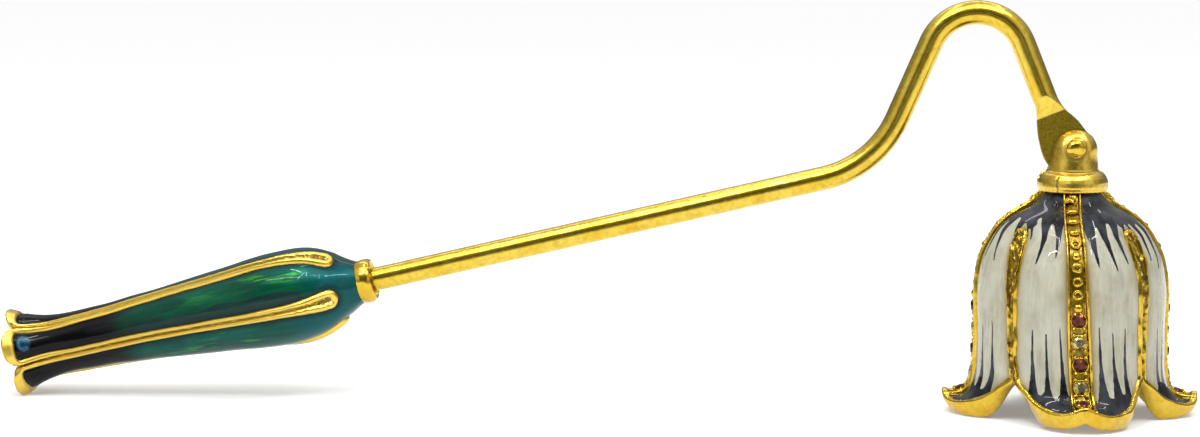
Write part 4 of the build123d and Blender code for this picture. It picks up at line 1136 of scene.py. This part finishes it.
def rod_wire(material):
    """The bent rod, drawn out at its end into the pressed blade, with the pivot's hole."""
    corners = [np.array(c, float) for c in ROD_CORNERS] + [LEG_Q + LEG_U * 14.0]
    mids, dirs = [], []

    def run(a, b):
        m = max(2, int(np.linalg.norm(b - a) / 1.1))
        for f in np.linspace(0, 1, m, endpoint=False):
            mids.append(a + (b - a) * f)
            dirs.append(unit(b - a))

    at = corners[0]
    for i, bend in enumerate(ROD_BENDS):
        d1, d2 = unit(corners[i + 1] - corners[i]), unit(corners[i + 2] - corners[i + 1])
        way = math.copysign(1.0, d1[0] * d2[1] - d1[1] * d2[0])
        turn = math.acos(float(np.clip(d1 @ d2, -1, 1)))
        start = corners[i + 1] - d1 * bend * math.tan(turn / 2)
        run(at, start)
        side = way * np.array([-d1[1], d1[0]])
        m = max(4, int(bend * turn / 0.5))
        for f in np.linspace(0, turn, m, endpoint=False):
            mids.append(start + d1 * bend * math.sin(f) + side * bend * (1 - math.cos(f)))
            dirs.append(d1 * math.cos(f) + side * math.sin(f))
        at = corners[i + 1] + d2 * bend * math.tan(turn / 2)
    run(at, corners[-1])
    mids, dirs = np.array(mids), np.array(dirs)
    # rings down the last leg, by the outline's two sides
    d = BLADE_EDGE - LEG_Q
    es, ev = d @ LEG_U, d @ LEG_V
    e_at = np.concatenate([[0], np.cumsum(np.hypot(np.diff(es), np.diff(ev)))])
    fine = np.linspace(0, e_at[-1], 3000)
    fs, fv = Cubic(e_at, es)(fine), Cubic(e_at, ev)(fine)
    turn_i = int(np.argmin(fs))
    s_end = float(fs[turn_i])
    leg = np.concatenate([np.arange(14.0, -4.0, -0.14), s_end + (-4.0 - s_end) * np.linspace(1, 0, 26) ** 2])
    left = np.interp(leg, fs[:turn_i + 1][::-1], fv[:turn_i + 1][::-1])
    right = np.interp(leg, fs[turn_i:], fv[turn_i:])
    f = step(8.6, 10.8, leg)
    left, right = left * (1 - f) - 2.5 * f, right * (1 - f) + 2.5 * f
    around = 96
    th = np.arange(around) * 2 * math.pi / around
    c, s = np.cos(th), np.sin(th)
    rings = []
    for m, dr in zip(mids, dirs):
        v = np.array([-dr[1], dr[0]])
        rings.append(np.stack([m[0] + 2.498 * c * v[0], 2.498 * s, m[1] + 2.498 * c * v[1]], 1))
    for s0, a, b in zip(leg, left, right):
        k = 2 / (2 + 1.3 * float(step(10.6, 5.0, np.array([s0]))[0]))
        v = (a + b) / 2 + (b - a) / 2 * np.sign(c) * np.abs(c) ** k
        y = 2.5 * np.abs(s) ** k
        press = float(np.interp(s0, [6.9, 11.4], [1.1, 2.62]))
        y = -smax(-y, np.full_like(y, -press), 0.07) * np.sign(s)
        m = LEG_Q + LEG_U * s0
        rings.append(np.stack([m[0] + v * LEG_V[0], y, m[1] + v * LEG_V[1]], 1))
    p = np.concatenate(rings)
    t = grid_faces(len(rings), around, wrap=True)
    n = len(p)
    p = np.concatenate([p, [rings[0].mean(0)], [rings[-1].mean(0)]])
    j = np.arange(around)
    last = (len(rings) - 1) * around
    cap0 = np.stack([np.full(around, n), (j + 1) % around, j], 1)
    cap1 = np.stack([np.full(around, n + 1), last + j, last + (j + 1) % around], 1)
    if (t[0][0], t[0][1]) == (0, 1):
        cap1, cap0 = cap1, cap0
    t = np.concatenate([t, cap0, cap1])
    me = bpy.data.meshes.new("rod_blank")
    p, t, _ = weld(p, t, 2e-4, [])
    vol = (np.cross(p[t[:, 0]], p[t[:, 1]]) * p[t[:, 2]]).sum() / 6
    if vol < 0:
        t = t[:, ::-1]
    me.from_pydata((p * MM).tolist(), [], t.tolist())
    me.validate()
    blank = bpy.data.objects.new("rod_blank", me)
    bpy.context.scene.collection.objects.link(blank)
    lo_, hi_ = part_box("hinge_pin")
    px, pz = (lo_[0] + hi_[0]) / 2, (lo_[2] + hi_[2]) / 2
    az = np.arange(48) * 2 * math.pi / 48
    cp = [(px + 0.00105 * math.cos(x), y, pz + 0.00105 * math.sin(x)) for y in (-0.004, 0.004) for x in az]
    faces = [(i, (i + 1) % 48, 48 + (i + 1) % 48, 48 + i) for i in range(48)]
    faces += [tuple(range(47, -1, -1)), tuple(range(48, 96))]
    cm = bpy.data.meshes.new("hole_tool")
    cm.from_pydata(cp, [], faces)
    tool = bpy.data.objects.new("hole_tool", cm)
    bpy.context.scene.collection.objects.link(tool)
    bm = bmesh.new()
    bm.from_mesh(cm)
    bmesh.ops.recalc_face_normals(bm, faces=bm.faces)
    bm.to_mesh(cm)
    bm.free()
    mod = blank.modifiers.new("hole", "BOOLEAN")
    mod.operation, mod.solver, mod.object = "DIFFERENCE", "EXACT", tool
    done = bpy.data.meshes.new_from_object(blank.evaluated_get(bpy.context.evaluated_depsgraph_get()))
    for o in (blank, tool):
        bpy.data.objects.remove(o)
    m = len(done.vertices)
    co = np.empty(m * 3, np.float32)
    done.vertices.foreach_get("co", co)
    co = co.reshape(-1, 3).astype(float) / MM
    done.calc_loop_triangles()
    tt = np.empty(len(done.loop_triangles) * 3, np.int32)
    done.loop_triangles.foreach_get("vertices", tt)
    bpy.data.meshes.remove(done)
    sd = (co[:, [0, 2]] - LEG_Q) @ LEG_U
    here = (co[:, 0] > -9.5) & (co[:, 2] < 66)
    soup = Soup()
    soup.add(co, tt.reshape(-1, 3), flat=np.where(here & (sd < 6.93), 1.0, 0.0))
    return soup.make("rod_wire", material, "arm", "gold_rod", ["rod"], angle=32, join=0)


# ------------------------------------------------------------------ materials


class Nodes:
    def __init__(self, name):
        self.m = bpy.data.materials.new(name)
        self.m.use_nodes = True
        self.t = self.m.node_tree
        self.b = self.t.nodes["Principled BSDF"]
        co = self.t.nodes.new("ShaderNodeTexCoord")
        self.place = co.outputs["Object"]

    def put(self, socket, value):
        if isinstance(value, bpy.types.NodeSocket):
            self.t.links.new(value, socket)
        elif value is not None:
            socket.default_value = value

    def noise(self, scale, detail=3.0, rough=0.55, stretch=None, offset=None, distort=0.0):
        """Noise with features of about 1/scale mm. stretch is a scale along each axis."""
        v = self.place
        mp = self.t.nodes.new("ShaderNodeMapping")
        self.put(mp.inputs["Vector"], v)
        mp.inputs["Scale"].default_value = [1000 * x for x in (stretch or (1, 1, 1))]
        if offset:
            mp.inputs["Location"].default_value = offset
        n = self.t.nodes.new("ShaderNodeTexNoise")
        self.put(n.inputs["Vector"], mp.outputs["Vector"])
        n.inputs["Scale"].default_value = scale
        n.inputs["Detail"].default_value = detail
        n.inputs["Roughness"].default_value = rough
        n.inputs["Distortion"].default_value = distort
        return n.outputs["Fac"]

    def ramp(self, value, stops):
        r = self.t.nodes.new("ShaderNodeValToRGB")
        el = r.color_ramp.elements
        while len(el) < len(stops):
            el.new(0.5)
        for e, (at, c) in zip(el, stops):
            e.position = at
            e.color = (c, c, c, 1) if isinstance(c, (int, float)) else (*c, 1)
        self.put(r.inputs["Fac"], value)
        return r.outputs["Color"]

    def math(self, op, a, b=None, c=None, clamp=False):
        n = self.t.nodes.new("ShaderNodeMath")
        n.operation, n.use_clamp = op, clamp
        self.put(n.inputs[0], a)
        self.put(n.inputs[1], b)
        if c is not None:
            self.put(n.inputs[2], c)
        return n.outputs[0]

    def mix(self, fac, a, b, kind="MIX"):
        n = self.t.nodes.new("ShaderNodeMix")
        n.data_type, n.blend_type = "RGBA", kind
        self.put(n.inputs[0], fac)
        for i, v in ((6, a), (7, b)):
            self.put(n.inputs[i], v if isinstance(v, bpy.types.NodeSocket) else (*v, 1))
        return n.outputs[2]

    def attr(self, name):
        n = self.t.nodes.new("ShaderNodeAttribute")
        n.attribute_name = name
        return n.outputs["Fac"]

    def bump(self, height, distance, strength=1.0, chain=None):
        n = self.t.nodes.new("ShaderNodeBump")
        n.inputs["Strength"].default_value = strength
        n.inputs["Distance"].default_value = distance * MM
        self.put(n.inputs["Height"], height)
        self.put(n.inputs["Normal"], chain)
        return n.outputs["Normal"]

    def done(self, **sockets):
        for k, v in sockets.items():
            self.put(self.b.inputs[k.replace("_", " ")], v)
        return self.m


def gold_material(name, rough=(0.11, 0.25), light=(0.64, 0.455, 0.044), warm=(0.58, 0.345, 0.011), dents=0.05, grain=0.006,
                  brushed=None, blade=False):
    n = Nodes(name)
    deep, satin = n.attr("deep"), n.attr("satin")
    tone = n.ramp(n.noise(0.22, 4.0), [(0.32, 0.0), (0.70, 1.0)])
    col = n.mix(tone, light, warm)
    patch = n.ramp(n.noise(0.9, 5.0, 0.62, offset=(3, 7, 1)), [(0.42, 0.0), (0.74, 1.0)])
    col = n.mix(n.math("MULTIPLY", patch, 0.50), col, (0.32, 0.20, 0.008))
    col = n.mix(n.math("MULTIPLY", satin, 0.55), col, (0.80, 0.585, 0.115))
    # patina and painted shade: recesses are darkened to a near-black brown and made rougher
    col = n.mix(n.math("MULTIPLY", deep, 0.85), col, (0.080, 0.052, 0.004))
    r = n.math("MULTIPLY_ADD", n.noise(0.7, 4.0, offset=(9, 2, 5)), rough[1] - rough[0], rough[0])
    r = n.math("MULTIPLY_ADD", deep, 0.16, r)
    r = n.math("MULTIPLY_ADD", satin, 0.15, r)
    big = n.bump(n.noise(0.30, 2.0, 0.5), dents)
    mid = n.bump(n.noise(1.1, 3.0, 0.5, offset=(5, 5, 2)), dents * 0.35, chain=big)
    fine = n.bump(n.noise(7.0, 3.0, 0.6), grain, chain=mid)
    if brushed:
        fine = n.bump(n.noise(3.0, 4.0, 0.65, stretch=brushed), 0.012, chain=fine)
    if blade:
        # the pressed end is duller, with a scratched, grainy face
        mask = n.attr("flat")
        speck = n.ramp(n.noise(2.4, 5.0, 0.7, offset=(1, 2, 9)), [(0.40, 0.0), (0.66, 1.0)])
        olive = n.mix(speck, (0.16, 0.115, 0.006), (0.38, 0.28, 0.022))
        col = n.mix(n.math("MULTIPLY", mask, 0.93), col, olive)
        r = n.math("MULTIPLY_ADD", mask, 0.14, r)
        fine = n.bump(n.math("MULTIPLY", n.noise(4.0, 5.0, 0.7), mask), 0.05, chain=fine)
    n.b.inputs["Metallic"].default_value = 1.0
    n.b.inputs["Coat Weight"].default_value = 0.6
    n.b.inputs["Coat Roughness"].default_value = 0.06
    n.b.inputs["Coat IOR"].default_value = 1.40
    return n.done(Base_Color=col, Roughness=r, Normal=fine)


def pearl_material():
    n = Nodes("pearl_enamel")
    ink_v, near = n.attr("ink"), n.attr("near")
    veil = n.ramp(n.noise(0.55, 5.0, 0.62, stretch=(1, 1, 0.22)), [(0.30, 0.0), (0.72, 1.0)])
    pearl = n.mix(veil, (0.45, 0.425, 0.315), (0.275, 0.272, 0.203))
    cloud = n.ramp(n.noise(0.16, 3.0, offset=(2, 4, 6)), [(0.35, 0.0), (0.68, 1.0)])
    pearl = n.mix(n.math("MULTIPLY", cloud, 0.65), pearl, (0.48, 0.485, 0.415))
    brush = n.ramp(n.noise(1.7, 4.0, 0.6, stretch=(1, 1, 0.10), offset=(1, 8, 3)), [(0.50, 0.0), (0.78, 1.0)])
    pearl = n.mix(n.math("MULTIPLY", brush, 0.30), pearl, (0.14, 0.14, 0.105))
    # painted reflection and shade of the gold close to its edges, in brownish yellow
    pearl = n.mix(n.math("MULTIPLY", near, 0.80), pearl, (0.26, 0.185, 0.055))
    slate = n.ramp(n.noise(0.30, 3.0, stretch=(1, 1, 0.6)), [(0.40, 0.0), (0.72, 1.0)])
    char = n.mix(slate, (0.0035, 0.0035, 0.0060), (0.034, 0.040, 0.052))
    edge = n.math("ADD", ink_v, n.math("MULTIPLY_ADD", n.noise(2.6, 3.0, 0.6, stretch=(1, 1, 0.35)), 0.4, -0.2))
    fac = n.ramp(edge, [(0.30, 0.0), (0.62, 1.0)])
    col = n.mix(fac, pearl, char)
    b = n.bump(n.noise(0.12, 2.0), 0.10)
    b = n.bump(n.noise(0.6, 2.0, offset=(4, 1, 2)), 0.018, chain=b)
    n.b.inputs["Coat Weight"].default_value = 1.0
    n.b.inputs["Coat Roughness"].default_value = 0.012
    n.b.inputs["Coat IOR"].default_value = 1.29
    n.b.inputs["Specular IOR Level"].default_value = 0.05
    return n.done(Base_Color=col, Roughness=n.math("MULTIPLY_ADD", n.noise(1.2, 2.0), 0.10, 0.22), Normal=b)


def green_material():
    n = Nodes("green_enamel")
    gap, along = n.attr("gap"), n.attr("along")
    grey_reflection_v, streak_v, teal_v, drop = n.attr("slate"), n.attr("streak"), n.attr("teal"), n.attr("drop")
    inside = n.ramp(n.math("DIVIDE", gap, 4.0), [(0.0, 0.0), (0.35, 1.0)])
    # length down the handle, 0 at the ring and 1 at the flared end
    place = n.math("DIVIDE", along, 79.0)
    # coordinates turned so that x runs along the handle, for the brush strokes
    mp = n.t.nodes.new("ShaderNodeMapping")
    n.put(mp.inputs["Vector"], n.place)
    mp.inputs["Rotation"].default_value = (0, math.radians(12.35), 0)
    n.place = mp.outputs["Vector"]
    stroke = n.noise(0.95, 5.0, 0.62, stretch=(0.07, 1, 1))
    wide = n.noise(0.16, 3.0, 0.5, stretch=(0.35, 1, 1), offset=(2, 3, 4))
    emerald = n.mix(n.ramp(wide, [(0.36, 0.0), (0.64, 1.0)]), (0.001, 0.042, 0.026), (0.001, 0.100, 0.042))
    emerald = n.mix(n.math("MULTIPLY", n.ramp(stroke, [(0.44, 0.0), (0.72, 1.0)]), 0.30), emerald, (0.003, 0.165, 0.045))
    # painted highlight: a bright yellow-green band in the brush strokes along each gap
    bright = n.math("MULTIPLY", streak_v, n.ramp(stroke, [(0.52, 0.0), (0.72, 1.0)]))
    emerald = n.mix(bright, emerald, (0.075, 0.42, 0.022))
    emerald = n.mix(n.math("MULTIPLY", teal_v, n.ramp(wide, [(0.25, 0.45), (0.6, 0.95)])), emerald, (0.002, 0.070, 0.088))
    # the slate zones are a painted grey reflection over parts of each lobe, which are also made less metallic
    slate = n.mix(n.ramp(stroke, [(0.35, 0.0), (0.7, 1.0)]), (0.004, 0.020, 0.017), (0.014, 0.042, 0.037))
    slate = n.mix(n.math("MULTIPLY", teal_v, 0.55), slate, (0.006, 0.040, 0.038))
    grey_reflection_mask = n.ramp(n.math("MULTIPLY_ADD", n.math("SUBTRACT", stroke, 0.5), 0.7, grey_reflection_v), [(0.30, 0.0), (0.62, 1.0)])
    col = n.mix(grey_reflection_mask, emerald, slate)
    col = n.mix(inside, (0.003, 0.016, 0.014), col)
    butt = n.ramp(n.math("MULTIPLY_ADD", n.math("SUBTRACT", stroke, 0.5), 0.16, place), [(0.60, 0.0), (0.70, 1.0)])
    black = n.mix(n.ramp(stroke, [(0.45, 0.0), (0.75, 1.0)]), (0.0018, 0.0017, 0.0026), (0.008, 0.0085, 0.011))
    col = n.mix(butt, col, black)
    col = n.mix(drop, col, n.mix(n.ramp(n.noise(0.9, 2.0), [(0.35, 0.0), (0.65, 1.0)]), (0.005, 0.028, 0.055), (0.045, 0.135, 0.205)))
    metal = n.math("MULTIPLY", n.math("SUBTRACT", 1.0, n.math("MAXIMUM", grey_reflection_mask, butt)), 0.55)
    b = n.bump(n.noise(0.14, 2.0), 0.12)
    b = n.bump(n.noise(0.7, 2.0, stretch=(0.4, 1, 1)), 0.015, chain=b)
    n.b.inputs["Coat Weight"].default_value = 0.62
    n.b.inputs["Coat Roughness"].default_value = 0.012
    n.b.inputs["Coat IOR"].default_value = 1.29
    n.b.inputs["Specular IOR Level"].default_value = 0.02
    return n.done(Base_Color=col, Metallic=metal, Roughness=n.math("MULTIPLY_ADD", stroke, 0.16, 0.26), Normal=b)


def gem_material(name, light, dark, rough):
    n = Nodes(name)
    col = n.mix(n.ramp(n.noise(1.3, 3.0, offset=(3, 3, 8)), [(0.35, 0.0), (0.65, 1.0)]), light, dark)
    n.b.inputs["Coat Weight"].default_value = 0.25
    n.b.inputs["Coat Roughness"].default_value = 0.03
    n.b.inputs["IOR"].default_value = 1.5
    n.b.inputs["Metallic"].default_value = 0.85
    return n.done(Base_Color=col, Roughness=n.math("MULTIPLY_ADD", n.noise(2.0, 2.0), 0.06, rough),
                  Normal=n.bump(n.noise(1.2, 2.0), 0.01))


gold = gold_material("gold_casting")
gold_smooth = gold_material("gold_clevis", rough=(0.14, 0.25), dents=0.045)
gold_rod = gold_material("gold_rod", rough=(0.16, 0.27), light=(0.66, 0.49, 0.060), warm=(0.60, 0.39, 0.014), dents=0.02,
                         grain=0.010, brushed=(0.2, 1, 1), blade=True)
brass = gold_material("fastener_brass", rough=(0.28, 0.42), light=(0.80, 0.62, 0.27), warm=(0.62, 0.44, 0.16), dents=0.02)
pearl, green = pearl_material(), green_material()
red = gem_material("red_stone", (0.125, 0.022, 0.007), (0.030, 0.005, 0.003), 0.08)
clear = gem_material("clear_stone", (0.56, 0.50, 0.23), (0.16, 0.12, 0.028), 0.06)

cup_gold(gold)
petal_enamels(pearl)
stones(red, clear)
handle_parts(gold, green)
ferrule(gold_smooth)
knuckle(gold_smooth)
rod_wire(gold_rod)
for node, mat in (("rod", gold_rod), ("hinge_pin", gold_smooth), ("clevis", gold_smooth), ("stud_washer", brass),
                  ("stud_nut", brass)):
    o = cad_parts[node]
    o.data.materials.clear() if not o.material_slots else None
    if not o.material_slots:
        o.data.materials.append(mat)
    for slot in o.material_slots:
        slot.material = mat

# ------------------------------------------------------------------ floor, light and camera
floor_me = bpy.data.meshes.new("floor")
floor_me.from_pydata([(-30, -30, -0.0002), (30, -30, -0.0002), (30, 30, -0.0002), (-30, 30, -0.0002)], [], [(0, 1, 2, 3)])
floor = bpy.data.objects.new("floor", floor_me)
bpy.context.scene.collection.objects.link(floor)
fm = Nodes("floor_white")
fm.done(Base_Color=fm.mix(fm.noise(0.002, 2.0), (0.80, 0.80, 0.80), (0.82, 0.82, 0.815)), Roughness=0.9)
fm.b.inputs["Emission Color"].default_value = (1, 1, 1, 1)
fm.b.inputs["Emission Strength"].default_value = 0.25
floor_me.materials.append(fm.m)

wall_r, wall_a, wall_b = 5.0, 64, 10
wall_v = [(wall_r * math.cos(b * math.pi / 2 / wall_b) * math.cos(a * math.tau / wall_a),
           wall_r * math.cos(b * math.pi / 2 / wall_b) * math.sin(a * math.tau / wall_a),
           wall_r * math.sin(b * math.pi / 2 / wall_b)) for b in range(wall_b) for a in range(wall_a)] + [(0, 0, wall_r)]
wall_f = [(b * wall_a + a, b * wall_a + (a + 1) % wall_a, (b + 1) * wall_a + (a + 1) % wall_a, (b + 1) * wall_a + a)
          for b in range(wall_b - 1) for a in range(wall_a)]
wall_f += [((wall_b - 1) * wall_a + a, (wall_b - 1) * wall_a + (a + 1) % wall_a, wall_b * wall_a) for a in range(wall_a)]
wall_me = bpy.data.meshes.new("backdrop")
wall_me.from_pydata(wall_v, [], wall_f)
wall = bpy.data.objects.new("backdrop", wall_me)
bpy.context.scene.collection.objects.link(wall)
wm_ = Nodes("backdrop_white")
wm_.done(Base_Color=wm_.mix(wm_.noise(0.002, 2.0), (0.80, 0.80, 0.80), (0.82, 0.82, 0.82)), Roughness=0.9)
wm_.b.inputs["Emission Color"].default_value = (1, 1, 1, 1)
wm_.b.inputs["Emission Strength"].default_value = 1.0
wall_me.materials.append(wm_.m)
wall.visible_diffuse = wall.visible_glossy = wall.visible_shadow = wall.visible_transmission = False

world = bpy.data.worlds.new("studio")
bpy.context.scene.world = world
world.use_nodes = True
wt = world.node_tree
bg = wt.nodes["Background"]
co = wt.nodes.new("ShaderNodeTexCoord")
sep = wt.nodes.new("ShaderNodeSeparateXYZ")
wt.links.new(co.outputs["Generated"], sep.inputs[0])


def world_ramp(value, stops):
    r = wt.nodes.new("ShaderNodeValToRGB")
    el = r.color_ramp.elements
    while len(el) < len(stops):
        el.new(0.5)
    for e, (at, c) in zip(el, stops):
        e.position, e.color = at, (c, c, c, 1)
    wt.links.new(value, r.inputs["Fac"])
    return r.outputs["Color"]


def world_math(op, a, b):
    m = wt.nodes.new("ShaderNodeMath")
    m.operation = op
    for i, v in enumerate((a, b)):
        if isinstance(v, (int, float)):
            m.inputs[i].default_value = v
        else:
            wt.links.new(v, m.inputs[i])
    return m.outputs[0]


# a bright tent above and at the sides, and a darker opening towards the front
z_dir = sep.outputs["Z"]
back = world_ramp(z_dir, [(0.0, 0.12), (0.20, 0.22), (0.44, 0.50), (0.62, 0.74), (1.0, 0.85)])
ahead = world_ramp(z_dir, [(0.0, 0.07), (0.54, 0.09), (0.63, 0.38), (0.72, 0.85), (0.86, 1.0), (1.0, 1.0)])
ahead = world_math("MULTIPLY", ahead, 1.45)
side_x = world_math("ABSOLUTE", sep.outputs["X"], 0.0)
sides = world_ramp(side_x, [(0.40, 0.0), (0.54, 0.95), (0.80, 0.95), (0.95, 0.55)])
sides = world_math("MULTIPLY", sides, world_ramp(z_dir, [(0.02, 0.35), (0.16, 1.0)]))
front = world_ramp(world_math("MULTIPLY", sep.outputs["Y"], -1.0), [(0.02, 0.0), (0.30, 1.0)])
ahead = world_math("MAXIMUM", ahead, sides)
level = world_math("ADD", world_math("MULTIPLY", ahead, front),
                   world_math("MULTIPLY", back, world_math("SUBTRACT", 1.0, front)))
wt.links.new(level, bg.inputs["Strength"])
bg.inputs["Color"].default_value = (1.0, 1.0, 1.0, 1)


def light(kind, name, at, to, energy, size=None, angle=None, colour=(1, 1, 1)):
    d = bpy.data.lights.new(name, kind)
    d.energy, d.color = energy, colour
    if size:
        d.shape, d.size, d.size_y = "RECTANGLE", size[0], size[1]
    if angle:
        d.angle = math.radians(angle)
    o = bpy.data.objects.new(name, d)
    bpy.context.scene.collection.objects.link(o)
    o.location = at
    o.rotation_euler = (Vector(to) - Vector(at)).to_track_quat("-Z", "Y").to_euler()
    return o


light("SUN", "sun_soft", (0.3, -0.42, 1.5), (0, 0, 0), 0.34, angle=36)
light("AREA", "left_back", (-0.24, 0.10, 0.68), (-0.01, 0, 0.04), 0.28, (0.20, 0.008))
light("AREA", "left_front", (-0.30, -0.20, 0.64), (-0.01, 0, 0.04), 0.80, (0.26, 0.014))
light("AREA", "left_post", (-0.205, -0.38, 0.60), (-0.01, 0, 0.04), 0.54, (0.013, 0.24))
light("AREA", "right_back", (0.26, 0.10, 0.68), (0.0, 0, 0.04), 0.28, (0.20, 0.008))
light("AREA", "right_front", (0.30, -0.22, 0.64), (0.0, 0, 0.04), 0.76, (0.24, 0.014))
light("AREA", "right_post", (0.16, -0.40, 0.61), (0.0, 0, 0.04), 0.48, (0.013, 0.20))
light("AREA", "low_bar", (0.02, -0.36, 0.58), (0.0, 0, 0.02), 0.16, (0.14, 0.007))
light("AREA", "bar_back", (-0.1, 0.35, 0.55), (-0.1, 0, 0.04), 0.5, (0.7, 0.04))
light("AREA", "handle_bar", (-0.30, -0.30, 0.42), (-0.19, 0, 0.02), 0.28, (0.20, 0.008))
light("AREA", "handle_post", (-0.13, -0.26, 0.44), (-0.15, 0, 0.02), 0.20, (0.008, 0.12))

# a black card lying in front of the object, seen only in its polished surfaces
card_me = bpy.data.meshes.new("card")
card_me.from_pydata([(-1.4, -1.6, 0.001), (1.2, -1.6, 0.001), (1.2, -0.24, 0.001), (-1.4, -0.24, 0.001)], [], [(0, 1, 2, 3)])
card = bpy.data.objects.new("card", card_me)
bpy.context.scene.collection.objects.link(card)
cm_ = Nodes("card_black")
cm_.done(Base_Color=cm_.mix(cm_.noise(0.01, 2.0), (0.020, 0.020, 0.020), (0.028, 0.028, 0.028)), Roughness=0.9)
card_me.materials.append(cm_.m)
card.visible_camera = card.visible_diffuse = card.visible_shadow = card.visible_transmission = False

cam = bpy.data.cameras.new("camera")
cam.sensor_width, cam.sensor_fit, cam.lens = 36.0, "HORIZONTAL", 79.134
cam.clip_start, cam.clip_end = 0.01, 100
co_ = bpy.data.objects.new("camera", cam)
bpy.context.scene.collection.objects.link(co_)
co_.location = (-0.041, -0.547, 0.10185)
co_.rotation_euler = (Vector((-0.09771, 0, 0.03909)) - Vector(co_.location)).to_track_quat("-Z", "Y").to_euler()
bpy.context.scene.camera = co_
bpy.context.scene.view_settings.view_transform = "Standard"
